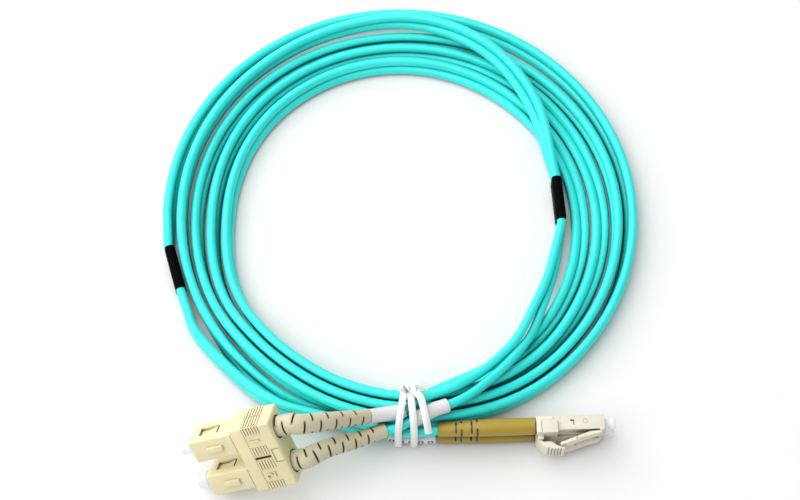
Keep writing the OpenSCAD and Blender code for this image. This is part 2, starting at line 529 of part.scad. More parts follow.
module lc_body() {
    color(steel) difference() {
        union() {
            xcyl(-lc_len, lc_plug_x, lc_chamber_d - 2*seat, hidden_fn);
            bar(-lc_len - 0.9, -lc_len, lc_nose - 0.1, lc_nose - 0.1);
            xcyl(lc_tube_x, -lc_len, lc_tube_d, hidden_fn);
        }
        xcyl(lc_tube_x - 1, lc_plug_x + 1, 1.2, hidden_fn);
        xcyl(-lc_len, lc_plug_x + 1, 2, hidden_fn);
    }
}
module lc_crimp() { color(steel) tube(lc_crimp_x - 1.6, -lc_len - 1.4, lc_crimp_d, leg_d + 2*seat, hidden_fn); }
module lc_fibre() { color(yarn) xcyl(lc_crimp_x + 1, -15, 0.9, hidden_fn); }
module lc_boot() {
    x1 = lc_boot_x;
    x0 = -lc_len - lc_boot_len;
    color(gold) difference() {
        rotate([0, -90, 0]) rotate_extrude($fn = 12) polygon([[lc_crimp_d/2 + fit, -x1], [lc_boot_d/2, -x1],
            [lc_boot_d/2, -x0 - 13], [lc_boot_end_d/2, -x0], [leg_d/2 + 3*fit, -x0],
            [leg_d/2 + 3*fit, -lc_crimp_x + 1.9], [lc_crimp_d/2 + fit, -lc_crimp_x + 1.9]]);
        for (k = [0, 1]) for (j = [0, 1]) for (s = [-1, 1])
            translate([x0 + 5.2 + 4.8*k + 1.6*j, s > 0 ? 0.4 : -5.4, -4]) cube([0.4, 5, 8]);
    }
}
module lc_cap() {
    color(clear) difference() {
        union() { xcyl(-4.5, 3.3, lc_bore - 2*fit); xcyl(1.9, 3.3, 4); }
        xcyl(-5, 1, lc_ferrule_d + 3*seat, hidden_fn);
    }
}
// The clip sits astride both housings and carries the trigger
lc_clip_x = [lc_boot_x + fit, lc_boot_x + 6.3];
lc_trig_at = [lc_clip_x[0] + 1.0, lc_nose/2 + 1.6];
lc_trig_w = 6.5;
module lc_clip() {
    z0 = lc_nose/2 + seat;
    color(beige) difference() {
        union() {
            translate([lc_clip_x[0], -lc_clip_w/2, z0]) cube([lc_clip_x[1] - lc_clip_x[0], lc_clip_w, 1]);
            for (k = [-1, 1]) translate([lc_clip_x[0], k*(lc_pitch/2 + lc_nose/2 + seat) - (k < 0 ? lc_clip_w/2 - lc_pitch/2 - lc_nose/2 - seat : 0), -0.6])
                cube([lc_clip_x[1] - lc_clip_x[0], lc_clip_w/2 - lc_pitch/2 - lc_nose/2 - seat, z0 + 1.6]);
            translate([lc_clip_x[0], -(lc_pitch - lc_nose)/2 + seat, -0.6]) cube([lc_clip_x[1] - lc_clip_x[0], lc_pitch - lc_nose - 2*seat, z0 + 1]);
            for (k = [-1, 1]) translate([lc_trig_at[0], k*(lc_trig_w/2 + fit), 0]) translate([-0.7, k > 0 ? 0 : -0.8, z0]) cube([1.8, 0.8, 2.2]);
        }
        translate([lc_trig_at[0], 0, lc_trig_at[1]]) ycyl(-lc_clip_w, lc_clip_w, 1.0 + fit);
    }
}
module lc_trigger() {
    w = lc_trig_w;
    color(beige) translate([lc_trig_at[0], 0, lc_trig_at[1]]) {
        ycyl(-w/2 - 0.9, w/2 + 0.9, 1.0);
        translate([0, w/2, 0]) rotate([90, 0, 0]) linear_extrude(w) polygon([[-0.95, -0.3], [0.5, -0.3], [0.45, 0.2], [0.75, 1.15],
            [3.2, 1.2], [4.4, 2.1], [5.6, 2.85], [7.1, 3], [7.1, 3.6], [3.2, 3.5], [1.8, 3.05], [0.7, 2.25], [-0.4, 0.95], [-0.9, 0.1]]);
    }
}

// ---- the part ----
module whole() { translate(origin_shift) children(); }
whole() cord_coil();
whole() split_sleeve(end_r, joint_r[1]);  // split_sleeve_sc
whole() split_sleeve(end_l, joint_l[1]);  // split_sleeve_lc
whole() leg(sc_leg_a);
whole() leg(sc_leg_b);
whole() leg(lc_leg_a);
whole() leg(lc_leg_b);
whole() label(sc_leg_a, sc_boot_end_s + 0.8, label_len, label_d);  // label_sc_a
whole() label(sc_leg_b, 37, label_len, label_d);  // label_sc_b
whole() label(lc_leg_b, 23, label_lc_len, label_lc_d);  // label_lc_b
whole() twist_tie();
whole() at_sc(0) sc_clip_half(1);  // sc_clip_upper
whole() at_sc(0) sc_clip_half(-1);  // sc_clip_lower
whole() at_sc(-1) sc_housing();  // sc_housing_a
whole() at_sc(-1) sc_frame();  // sc_frame_a
whole() at_sc(-1) sc_ferrule();  // sc_ferrule_a
whole() at_sc(-1) sc_spring();  // sc_spring_a
whole() at_sc(-1) sc_body();  // sc_body_a
whole() at_sc(-1) sc_crimp();  // sc_crimp_a
whole() at_sc(-1) sc_fibre();  // sc_fibre_a
whole() at_sc(-1) sc_cap();  // sc_cap_a
whole() sc_boot(-1, sc_leg_a);  // sc_boot_a
whole() at_sc(1) sc_housing();  // sc_housing_b
whole() at_sc(1) sc_frame();  // sc_frame_b
whole() at_sc(1) sc_ferrule();  // sc_ferrule_b
whole() at_sc(1) sc_spring();  // sc_spring_b
whole() at_sc(1) sc_body();  // sc_body_b
whole() at_sc(1) sc_crimp();  // sc_crimp_b
whole() at_sc(1) sc_fibre();  // sc_fibre_b
whole() at_sc(1) sc_cap();  // sc_cap_b
whole() sc_boot(1, sc_leg_b);  // sc_boot_b
whole() at_lc(0) lc_clip();
whole() at_lc(0) lc_trigger();
whole() at_lc(1) lc_housing();  // lc_housing_a
whole() at_lc(1) lc_latch();  // lc_latch_a
whole() at_lc(1) lc_body();  // lc_body_a
whole() at_lc(1) lc_ferrule();  // lc_ferrule_a
whole() at_lc(1) lc_spring();  // lc_spring_a
whole() at_lc(1) lc_crimp();  // lc_crimp_a
whole() at_lc(1) lc_boot();  // lc_boot_a
whole() at_lc(1) lc_fibre();  // lc_fibre_a
whole() at_lc(1) lc_cap();  // lc_cap_a
whole() at_lc(-1) lc_housing();  // lc_housing_b
whole() at_lc(-1) lc_latch();  // lc_latch_b
whole() at_lc(-1) lc_body();  // lc_body_b
whole() at_lc(-1) lc_ferrule();  // lc_ferrule_b
whole() at_lc(-1) lc_spring();  // lc_spring_b
whole() at_lc(-1) lc_crimp();  // lc_crimp_b
whole() at_lc(-1) lc_boot();  // lc_boot_b
whole() at_lc(-1) lc_fibre();  // lc_fibre_b
whole() at_lc(-1) lc_cap();  // lc_cap_b
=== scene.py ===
# Duplex fibre patch cord: a flat two-strand cord wound in a tied coil, with a duplex
# push-pull plug on one end and a smaller duplex latching plug on the other.
import math

import bpy
from mathutils import Matrix, Vector


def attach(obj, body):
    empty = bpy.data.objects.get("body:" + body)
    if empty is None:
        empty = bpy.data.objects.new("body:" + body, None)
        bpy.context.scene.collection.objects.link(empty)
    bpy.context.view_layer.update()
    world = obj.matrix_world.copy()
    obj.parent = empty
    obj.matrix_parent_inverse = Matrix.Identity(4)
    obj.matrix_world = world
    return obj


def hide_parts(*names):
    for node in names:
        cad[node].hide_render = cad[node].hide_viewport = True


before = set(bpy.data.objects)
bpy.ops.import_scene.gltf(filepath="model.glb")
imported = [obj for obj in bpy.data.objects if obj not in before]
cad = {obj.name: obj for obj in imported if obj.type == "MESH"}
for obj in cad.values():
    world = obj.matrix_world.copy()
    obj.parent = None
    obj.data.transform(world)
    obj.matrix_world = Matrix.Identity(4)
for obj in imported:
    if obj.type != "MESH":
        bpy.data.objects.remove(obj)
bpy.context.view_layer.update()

# ----------------------------------------
# Camera, table and lights: a view down at 64 degrees with a long lens, a white
# table, one very broad soft lamp overhead on the left and a lower one behind.
MM = 0.001
ORIGIN = Vector((0.2, 83.4, 0.0))  # from the coil's middle to the origin on the table, mm
EYE_AT, EYE_AIM = Vector((0.4, -177.3, 514.4)), Vector((0.4, 71.4, 0.0))  # mm
TABLE_SIZE, TABLE_DROP = 3, 0.00005  # metres; the drop keeps it just clear of the cord
SKY_LIGHT, SKY_SEEN = 0.45, 1.0  # the room's strength as light, and to the camera


def linked(name, data):
    """A new object in the scene."""
    thing = bpy.data.objects.new(name, data)
    bpy.context.scene.collection.objects.link(thing)
    return thing


eye = linked("eye", bpy.data.cameras.new("eye"))
eye.data.lens = 81
eye.data.sensor_width = 36
eye.data.clip_start = 0.01
eye.location = EYE_AT * MM
eye.rotation_euler = (EYE_AIM * MM - eye.location).to_track_quat("-Z", "Y").to_euler()
bpy.context.scene.camera = eye
bpy.context.scene.view_settings.view_transform = "Standard"


class Wire:
    """A value that changes over a surface. Arithmetic on it adds Math nodes."""

    def __init__(self, paint, socket):
        self.paint, self.socket = paint, socket

    def math(self, operation, *values):
        return self.paint.node("ShaderNodeMath", {"operation": operation}, dict(enumerate(values)))

    def __add__(self, other):
        return self.math("ADD", self, other)

    def __rsub__(self, other):
        return self.math("SUBTRACT", other, self)

    def __mul__(self, other):
        return self.math("MULTIPLY", self, other)

    def __gt__(self, other):
        return self.math("GREATER_THAN", self, other)

    def __lt__(self, other):
        return self.math("LESS_THAN", self, other)

    def ramp(self, low, high, to_low=0.0, to_high=1.0):
        """This value from low to high, as to_low to to_high, smoothly."""
        ends = {"From Min": low, "From Max": high, "To Min": to_low, "To Max": to_high}
        return self.paint.node("ShaderNodeMapRange", {"interpolation_type": "SMOOTHSTEP"},
                               {"Value": self, **ends})


class Paint:
    """A material on one Principled shader; plain numbers go straight on its sockets."""

    def __init__(self, name, color, **sockets):
        self.material = bpy.data.materials.new(name)
        self.material.use_nodes = True
        self.tree = self.material.node_tree
        self.shader = self.tree.nodes["Principled BSDF"]
        self.shader.inputs["Base Color"].default_value = (*color, 1)
        for key, value in sockets.items():
            label = key.replace("_", " ").title().replace("Ior", "IOR")
            self.shader.inputs[label].default_value = value

    def plug(self, socket, value):
        if isinstance(value, Wire):
            self.tree.links.new(value.socket, socket)
        elif isinstance(value, tuple) and socket.type == "RGBA":
            socket.default_value = (*value[:3], 1)
        else:
            socket.default_value = value

    def node(self, kind, settings=None, inputs=None, out=0):
        n = self.tree.nodes.new(kind)
        for key, value in (settings or {}).items():
            setattr(n, key, value)
        for key, value in (inputs or {}).items():
            self.plug(n.inputs[key], value)
        return Wire(self, n.outputs[out])

    def set(self, name, value):
        self.plug(self.shader.inputs[name], value)

    def place(self, kind="Object"):
        return self.node("ShaderNodeTexCoord", out=kind)

    def noise(self, scale, detail=2.0, where=None, stretch=None):
        where = where or self.place()
        if stretch:
            where = self.node("ShaderNodeMapping", {}, {"Vector": where, "Scale": stretch})
        return self.node("ShaderNodeTexNoise", {}, {"Vector": where, "Scale": scale, "Detail": detail})

    def hollow(self, reach, low=0.15, high=0.6):
        """0 deep in a crease or slot, 1 in the open, judged within reach (m); it masks painted shade."""
        openness = self.node("ShaderNodeAmbientOcclusion", {"samples": 8}, {"Distance": reach}, "AO")
        return openness.ramp(low, high)

    def mix(self, amount, a, b):
        n = self.tree.nodes.new("ShaderNodeMix")
        n.data_type = "RGBA"
        self.plug(n.inputs[0], amount)
        self.plug(n.inputs[6], a)
        self.plug(n.inputs[7], b)
        return Wire(self, n.outputs[2])

    def bump(self, height, strength, distance):
        facts = {"Height": height, "Strength": strength, "Distance": distance}
        self.set("Normal", self.node("ShaderNodeBump", {}, facts))


bpy.ops.object.select_all(action="DESELECT")
bpy.ops.mesh.primitive_plane_add(size=TABLE_SIZE, location=(0, 0.08, -TABLE_DROP))
table = bpy.context.object
table.name = "table"
table_paint = Paint("table_white", (0.83, 0.835, 0.835), roughness=0.75, specular_ior_level=0.2)
grain = table_paint.noise(90.0, 3.0)
table_paint.set("Base Color", table_paint.mix(grain, (0.82, 0.825, 0.825), (0.84, 0.845, 0.845)))
table.data.materials.append(table_paint.material)

world = bpy.data.worlds.new("room")
bpy.context.scene.world = world
world.use_nodes = True
sky = world.node_tree.nodes["Background"]
sky.inputs["Color"].default_value = (1, 1, 1, 1)
path = world.node_tree.nodes.new("ShaderNodeLightPath")
level = world.node_tree.nodes.new("ShaderNodeMix")
level.data_type = "FLOAT"
level.inputs[2].default_value = SKY_LIGHT
level.inputs[3].default_value = SKY_SEEN
world.node_tree.links.new(path.outputs["Is Camera Ray"], level.inputs[0])
world.node_tree.links.new(level.outputs[0], sky.inputs["Strength"])


def lamp(name, at, aim, size, watts):
    light = bpy.data.lights.new(name, "AREA")
    light.shape, light.size, light.size_y, light.energy = "RECTANGLE", size[0], size[1], watts
    body = linked(name, light)
    body.location = at
    body.rotation_euler = (Vector(aim) - Vector(at)).to_track_quat("-Z", "Y").to_euler()


lamp("lamp_overhead", at=(-0.7, 0.1, 1.0), aim=(-0.2, 0.06, 0.0), size=(2.0, 2.0), watts=23.5)
lamp("lamp_behind", at=(-0.55, 1.05, 0.5), aim=(0.0, 0.0, 0.0), size=(1.3, 0.8), watts=4.4)

# ----------------------------------------
# The coil: two 3 mm strands moulded side by side with a thin web between them,
# wound four and a half turns clockwise. The flat cord leans and twists as it lies,
# passes over itself in low humps, and is squeezed upright where the tie holds it.
STRAND_D = 3.0
WEB_T = 0.9
COIL_R = 76.0
SLEEVE_LEN = 15.0
# angle round the coil from the tie, distance in from the outer radius, lift, lean
WIND = [
    (90, 2.7, 0, 74), (135, 2.5, 0, 60), (180, 2.5, 0, 55), (225, 2.4, 0, 58), (270, 2.5, 0, 62),
    (315, 2.4, 0, 84), (330, 2.6, 0.9, 88), (345, 3.0, 3.9, 90),
    (360, 3.7, 5.1, 90), (375, 5.6, 4.6, 90), (390, 7.8, 3.8, 90), (405, 9.2, 3.0, 88),
    (420, 10, 0, 82), (450, 11.8, 0, 64), (495, 12, 0, 56), (540, 11.8, 0, 56), (585, 9, 0, 66),
    (630, 6.8, 0, 80),
    (675, 6.3, 0, 86), (690, 6.4, 0.9, 88), (705, 6.8, 3.9, 90),
    (720, 7.3, 5.1, 90), (735, 9.2, 4.6, 90), (750, 11.4, 3.8, 90), (765, 12.8, 3.0, 86),
    (780, 13.8, 0, 78), (810, 17, 0, 66), (855, 16.4, 0, 60), (900, 16, 0, 56), (945, 14.4, 0, 25),
    (990, 12, 0, -15),
    (1020, 11, 0, -50), (1035, 10.4, 0, -70), (1050, 10.3, 0.9, -84), (1065, 10.4, 4.1, -90),
    (1080, 10.9, 5.1, -90), (1095, 12.8, 4.6, -90), (1110, 15, 3.8, -92), (1125, 16.4, 3.0, -95),
    (1140, 18, 0, -102), (1170, 21.7, 0, -110), (1215, 21.6, 0, -118), (1260, 21.2, 0, -124),
    (1305, 20.7, 0, -160), (1335, 19.2, 0, -182), (1350, 18.5, 0, -190), (1380, 16.5, 0, -222),
    (1395, 15.4, 0, -226), (1410, 15.2, 0, -190), (1425, 14, 0.6, -180), (1440, 9.4, 1.4, -180),
    (1455, 5, 0.6, -180), (1470, 3.4, 0, -190), (1485, 4.9, 0, -248), (1500, 6.1, 0, -274),
    (1530, 7.1, 2.2, -275), (1575, 7.1, 2.6, -275), (1605, 7, 3.8, -280), (1620, 7.2, 5.2, -288),
    (1635, 9.2, 6.4, -310), (1650, 12.6, 6.6, -326), (1665, 17.2, 5.2, -328), (1680, 22.2, 4.4, -300)]
SPLIT_L = (73.2, 73.5, 3.6)  # radius, angle and height of the split before the latching plugs
SPLIT_R = (50.9, 1706, 3.8)  # and of the one before the push-pull plugs
RING_STEP = 3.75  # degrees between the coil's rings


def on_circle(radius, angle, z):
    a = math.radians(angle)
    return Vector((-radius * math.sin(a), -radius * math.cos(a), z))


def along_circle(angle):
    a = math.radians(angle)
    return Vector((-math.cos(a), math.sin(a), 0))


def wound(angle):
    """Middle and lean of the cord at an angle of the winding, smooth between the stations."""
    i = max(k for k in range(len(WIND) - 1) if WIND[k][0] <= angle)
    station = [Vector(w) for w in WIND]

    def slope(k):
        a, b = max(k - 1, 0), min(k + 1, len(station) - 1)
        return (station[b] - station[a]) / (station[b][0] - station[a][0])

    h = station[i + 1][0] - station[i][0]
    t = (angle - station[i][0]) / h
    key = ((2 * t**3 - 3 * t**2 + 1) * station[i] + (t**3 - 2 * t**2 + t) * h * slope(i)
           + (3 * t**2 - 2 * t**3) * station[i + 1] + (t**3 - t**2) * h * slope(i + 1))
    lean = math.radians(key[3])
    z = STRAND_D / 2 + STRAND_D / 2 * abs(math.sin(lean)) + max(0.0, key[2])
    return on_circle(COIL_R - key[1], angle, z), key[3]


def smooth(points, steps):
    """A smooth curve through points, with steps between two of them."""
    p = [Vector(q) for q in points]
    out = []
    for i in range(len(p) - 1):
        a, b, c, d = p[max(i - 1, 0)], p[i], p[i + 1], p[min(i + 2, len(p) - 1)]
        for k in range(steps):
            t = k / steps
            out.append(0.5 * (2 * b + (c - a) * t + (2 * a - 5 * b + 4 * c - d) * t**2
                              + (3 * b - a - 3 * c + d) * t**3))
    return out + [p[-1]]


def heading(path, i, closed=False):
    """The way that the path runs at its point i."""
    if closed:
        a, b = path[i - 1], path[(i + 1) % len(path)]
    else:
        a, b = path[max(i - 1, 0)], path[min(i + 1, len(path) - 1)]
    return (b - a).normalized()


def sweep(name, path, outline, closed=False, up=None):
    """A solid swept along path (mm): outline(i) gives ring i's points, across and up.
    Its UV map runs along the piece in u, in centimetres, and once round it in v."""
    n, rings, run = len(path), [], [0.0]
    for i, c in enumerate(path):
        t = heading(path, i, closed)
        s = (up(i) if up else Vector((0, 0, 1))).cross(t).normalized()
        u = t.cross(s)
        rings.append([c + s * x + u * y for x, y in outline(i)])
        if i:
            run.append(run[-1] + (c - path[i - 1]).length)
    m = len(rings[0])
    verts = [p for r in rings for p in r]
    faces, uvs = [], []
    for i in range(n if closed else n - 1):
        j = (i + 1) % n
        for k in range(m):
            l = (k + 1) % m
            faces.append((i * m + k, i * m + l, j * m + l, j * m + k))
            u0, u1 = run[i] / 10, (run[i] + 1 if j == 0 else run[j]) / 10
            uvs += [(u0, k / m), (u0, (k + 1) / m), (u1, (k + 1) / m), (u1, k / m)]
    if not closed:
        faces += [tuple(range(m))[::-1], tuple(range((n - 1) * m, n * m))]
        uvs += [(0, k / m) for k in range(m)][::-1] + [(run[-1] / 10, k / m) for k in range(m)]
    mesh = bpy.data.meshes.new(name)
    mesh.from_pydata(verts, [], faces)
    layer = mesh.uv_layers.new(name="along")
    layer.data.foreach_set("uv", [x for uv in uvs for x in uv])
    return linked(name, mesh)


def only(piece):
    """Selects this piece alone."""
    bpy.ops.object.select_all(action="DESELECT")
    piece.select_set(True)
    bpy.context.view_layer.objects.active = piece
    return piece


def outwards(piece):
    """Closes doubled points, and turns every face outwards."""
    only(piece)
    bpy.ops.object.mode_set(mode="EDIT")
    bpy.ops.mesh.select_all(action="SELECT")
    bpy.ops.mesh.remove_doubles(threshold=0.00002)
    bpy.ops.mesh.normals_make_consistent(inside=False)
    bpy.ops.object.mode_set(mode="OBJECT")
    return piece


def lay(piece, paint, body="cord", stands_for=(), sharp=40, place=None):
    """Puts a piece that was made in mm in its place in metres, with its finish and its body."""
    piece.data.transform(place or Matrix.Identity(4))
    piece.data.transform(Matrix.Translation(ORIGIN * MM) @ Matrix.Scale(MM, 4))
    only(piece)
    bpy.ops.object.shade_smooth_by_angle(angle=math.radians(sharp))
    piece.data.materials.clear()
    piece.data.materials.append(paint.material)
    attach(piece, body)
    if stands_for:
        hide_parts(*stands_for)
    return piece


end_run = SLEEVE_LEN / 2 + 1
split_l, split_r = on_circle(*SPLIT_L), on_circle(*SPLIT_R)
run_l, run_r = along_circle(SPLIT_L[1]), along_circle(SPLIT_R[1])
stops = [(split_l, 90), (split_l + end_run * 0.5 * run_l, 88), (split_l + end_run * run_l, 84)]
rings = int((WIND[-1][0] - WIND[0][0]) / RING_STEP) + 1
stops += [wound(WIND[0][0] + RING_STEP * k) for k in range(rings)]
stops += [(split_r - end_run * run_r, -268), (split_r - end_run * 0.5 * run_r, -269), (split_r, -270)]
coil_route = [s[0] for s in stops]


def flat_cord(i):
    """Two round strands and the web between them, turned by the lean."""
    r = STRAND_D / 2
    round_it = [math.radians(d) for d in range(-154, 155, 22)]
    half = [(r + r * math.cos(a), r * math.sin(a)) for a in round_it]
    loop = half + [(0.0, WEB_T / 2)] + [(-x, y) for x, y in reversed(half)] + [(0.0, -WEB_T / 2)]
    w = math.radians(stops[i][1])
    return [(x * math.cos(w) - y * math.sin(w), x * math.sin(w) + y * math.cos(w)) for x, y in loop]


# Extruded jacket: a satin skin with fine lines along it and faint mottling, with painted shade
# that makes it nearly black deep between the strands and between the turns.
jacket = Paint("jacket_aqua", (0.03, 0.74, 0.69), roughness=0.34, specular_ior_level=0.5,
               coat_weight=0.1)
skin = jacket.place("UV")
lines = jacket.noise(6.0, 3.0, where=skin, stretch=(0.25, 40.0, 1.0))
mottle = jacket.noise(70.0, 3.0)
open_skin = jacket.mix(mottle.ramp(0.35, 0.7), (0.022, 0.76, 0.71), (0.03, 0.81, 0.76))
# painted shade: the colour goes to near black where the skin lies within 4 mm of other surfaces
jacket.set("Base Color", jacket.mix(jacket.hollow(0.004, 0.15, 0.6), (0.0, 0.09, 0.09), open_skin))
jacket.set("Roughness", mottle.ramp(0.3, 0.75, 0.32, 0.42) + lines * 0.04)
jacket.bump(lines * 0.6 + jacket.noise(900.0, 2.0) * 0.5, 0.25, 0.00006)

coil = lay(outwards(sweep("coil", coil_route, flat_cord)), jacket,
           stands_for=["cord_coil"])

# ----------------------------------------
# Four legs: past each split the two strands run on as single 2.8 mm cords, over
# and along the tied turns, to the boots of their plugs.
LEG_D = 2.8
SC_PITCH, SC_W, SC_H = 12.7, 7.4, 9.0
LC_PITCH, LC_LEN, LC_BOOT_LEN, LC_CLIP_W = 6.25, 19.4, 30.2, 12.9


def turn(degrees, axis):
    """A turn about X, Y or Z."""
    return Matrix.Rotation(math.radians(degrees), 4, axis)


SC_TURN = turn(184, "Z") @ turn(23, "Y") @ turn(-55, "X")
LC_TURN = turn(2.2, "Z") @ turn(90, "X")
# The lowest corner of the push-pull plugs' front faces rests on the table
sc_low = (SC_TURN @ Vector((0, SC_PITCH / 2 + SC_W / 2, -SC_H / 2))).z
SC = Matrix.Translation((-57.1, -85.8, -sc_low)) @ SC_TURN
LC = Matrix.Translation((60.9, -74, LC_CLIP_W / 2)) @ LC_TURN
SC_CRIMP_X, LC_CRIMP_X = -28.2, -27.2  # where the legs start, inside their crimps
SC_GLAND_X, LC_GLAND_X = SC_CRIMP_X - 2.6, -LC_LEN - LC_BOOT_LEN + 2  # how far they run straight


def on_sc(x, side):
    """A point on the axis of a push-pull plug, side -1 for plug A and 1 for plug B."""
    return SC @ Vector((x, side * SC_PITCH / 2, 0))


def sc_at(side):
    """Where that plug lies."""
    return SC @ Matrix.Translation((0, side * SC_PITCH / 2, 0))


def on_lc(x, side):
    """A point on the axis of a latching plug, side 1 for plug A and -1 for plug B."""
    return LC @ Vector((x, side * LC_PITCH / 2, 0))


def round_ring(radius, sides=20):
    angles = [2 * math.pi * (k + 0.5) / sides for k in range(sides)]
    return [(radius * math.cos(a), radius * math.sin(a)) for a in angles]


upper = Vector((0, 0, STRAND_D / 2))  # from a split's middle to its upper strand
leg_routes = {
    "leg_sc_a": [
        on_sc(SC_CRIMP_X, -1), on_sc(SC_GLAND_X, -1), (-27.9, -80.5, 26.7), (-20.4, -78.5, 23.8),
        (-14.4, -76.4, 20.2), (-9, -74.5, 16.9), (-3.5, -72.9, 14.9), (1.5, -71.6, 14.1),
        (5, -68.5, 13.6), (11, -65.9, 13.1), (18, -62.7, 12.3), (24.5, -57.7, 9.8),
        (31.5, -50.9, 8.2), (36.6, -44.8, 8.5), (41.4, -35.3, 8.3), (45.5, -26.1, 6.8),
        (48.5, -16, 5.6), split_r + end_run * run_r + upper, split_r + upper],
    "leg_sc_b": [
        on_sc(SC_CRIMP_X, 1), on_sc(SC_GLAND_X, 1), (-20.9, -84.4, 17.2), (-12.9, -81.2, 15),
        (-5, -77.5, 12.5), (0, -76.1, 12.6), (6.5, -73.2, 13.8), (10.5, -71.1, 13.8),
        (15, -69.4, 13.4), (20.5, -66.2, 12.3), (25.5, -62, 11), (33, -54, 8.4), (40, -44.5, 6.6),
        (44.2, -34.5, 6.1), (47.7, -24, 3.4), (50, -14, 2.5),
        split_r + end_run * run_r - upper, split_r - upper],
    "leg_lc_a": [
        on_lc(LC_CRIMP_X, 1), on_lc(LC_GLAND_X, 1), (7.5, -76.4, 9), (0, -76.2, 7.9),
        (-8, -74.2, 7.7), (-16, -72.3, 7.7), (-27, -69.6, 7.6), (-37, -66.1, 7.1),
        (-48.5, -57.4, 5.2), (-62, -43, 4.7), (-66, -34, 4.9),
        split_l - end_run * run_l + upper, split_l + upper],
    "leg_lc_b": [
        on_lc(LC_CRIMP_X, -1), on_lc(LC_GLAND_X, -1), (7.5, -76.1, 3.4), (0, -75.9, 3.6),
        (-8, -74.8, 4.2), (-16, -73, 4.6), (-27, -70.4, 4.6), (-37, -66.9, 4.1),
        (-48.5, -57.9, 2.2), (-62, -43.2, 1.7), (-66, -34, 1.8),
        split_l - end_run * run_l - upper, split_l - upper]}
leg_lines = {}
for name, points in leg_routes.items():
    # The first and last stretches are straight, in the crimp and in the sleeve
    leg_lines[name] = [Vector(points[0])] + smooth(points[1:-1], 5) + [Vector(points[-1])]
    line = leg_lines[name]
    lay(outwards(sweep(name, line, lambda i: round_ring(LEG_D / 2))), jacket,
        stands_for=["{1}_{0}_{2}".format(*name.split("_"))])

# ----------------------------------------
# Split sleeves: a 15 mm length of black shrink tube over each split, drawn in
# round the two strands, thinner at its cut ends.
SLEEVE_WALL, SLEEVE_GAP = 0.42, 0.08
SLEEVE_RINGS, SLEEVE_SIDES = 24, 32
sleeve_black = Paint("shrink_black", (0.001, 0.001, 0.0015), roughness=0.6,
                     specular_ior_level=0.03)
creases = sleeve_black.noise(260.0, 3.0)
sleeve_black.set("Roughness", creases.ramp(0.3, 0.7, 0.45, 0.62))
sleeve_black.bump(creases * 0.7 + sleeve_black.noise(2200.0, 1.0) * 0.3, 0.35, 0.00008)
for name, middle, angle in (("sleeve_lc", split_l, SPLIT_L[1]), ("sleeve_sc", split_r, SPLIT_R[1])):
    run = along_circle(angle)
    centre = [middle + run * SLEEVE_LEN * (k / SLEEVE_RINGS - 0.5) for k in range(SLEEVE_RINGS + 1)]

    def pinched(i):
        """A stadium on edge with a slight waist, rolled in a little at both ends."""
        rolled_in = {0: 0.16, 1: 0.05}.get(min(i, SLEEVE_RINGS - i), 0)
        r = STRAND_D / 2 + SLEEVE_GAP + SLEEVE_WALL - rolled_in
        ripple = 0.03 * math.sin(i * 2.4 + angle)
        points = []
        for k in range(SLEEVE_SIDES):
            a = 2 * math.pi * k / SLEEVE_SIDES
            x, y = (r + ripple) * math.cos(a), (r + ripple) * math.sin(a)
            waist = 0.18 * math.exp(-(y / 0.9) ** 2)
            points.append((x * (1 - waist), y + (STRAND_D / 2) * math.tanh(2.5 * math.sin(a))))
        return points

    sleeve = outwards(sweep(name, centre, pinched))
    lay(sleeve, sleeve_black, stands_for=["split_" + name])

# ----------------------------------------
# Labels: plain white tubes slipped over the legs, two on the push-pull side, and a
# longer, thinner one on the lower latching leg with a row of plain printed marks.
LABEL_WALL, LABEL_SIDES = 0.3, 28
SC_BOOT_LEN, SC_CLIP_LEN, SC_EXPOSED = 29.5, 12.8, 13.8
sc_boot_end = SC_EXPOSED + SC_CLIP_LEN + SC_BOOT_LEN + SC_CRIMP_X  # along the leg


def stretch(line, start, end):
    """The part of a line from start to end along it."""
    out, run = [], 0.0
    for a, b in zip(line, line[1:]):
        step = (b - a).length
        for at in (start, end):
            if run <= at < run + step:
                out.append(a.lerp(b, (at - run) / step))
        if start < run + step < end:
            out.append(b)
        run += step
    return out


def fine(line, gap):
    """The line with points about gap apart."""
    total = sum((b - a).length for a, b in zip(line, line[1:]))
    n = max(2, round(total / gap))
    return [stretch(line, total * k / n, total * 2)[0] for k in range(n)] + [line[-1]]


def cut(piece, tool, operation="DIFFERENCE"):
    """Cuts tool out of piece, and throws the tool away."""
    m = only(piece).modifiers.new("cut", "BOOLEAN")
    m.operation, m.solver, m.object = operation, "MANIFOLD", tool
    bpy.ops.object.modifier_apply(modifier="cut")
    bpy.data.objects.remove(tool)
    return piece


def fuse(piece, tool):
    """Moulds tool on to piece."""
    return cut(piece, tool, "UNION")


label_white = Paint("label_white", (0.70, 0.71, 0.705), roughness=0.48, specular_ior_level=0.45)
paper = label_white.noise(420.0, 4.0)
label_white.set("Base Color", label_white.mix(paper, (0.68, 0.69, 0.685), (0.73, 0.74, 0.735)))
label_white.bump(paper, 0.2, 0.00005)

marked_white = Paint("label_marked", (0.70, 0.71, 0.705), roughness=0.48, specular_ior_level=0.45)
along = marked_white.node("ShaderNodeSeparateXYZ", {}, {0: marked_white.place("UV")})
way_round = Wire(marked_white, along.socket.node.outputs[1])
# The marks are hollow boxes: shares of a cell along the label, and of its way round
cell = along.math("FRACT", along * 3.5)
around = along.math("FRACT", way_round + 0.1)
box = (around > 0.055) * (around < 0.165) * (cell > 0.24) * (cell < 0.78)
hole = (around > 0.08) * (around < 0.14) * (cell > 0.38) * (cell < 0.64)
ink = box * (1 - hole)
marked_white.set("Base Color", marked_white.mix(ink, (0.71, 0.72, 0.715), (0.02, 0.02, 0.022)))
marked_white.bump(marked_white.noise(420.0, 4.0), 0.2, 0.00005)

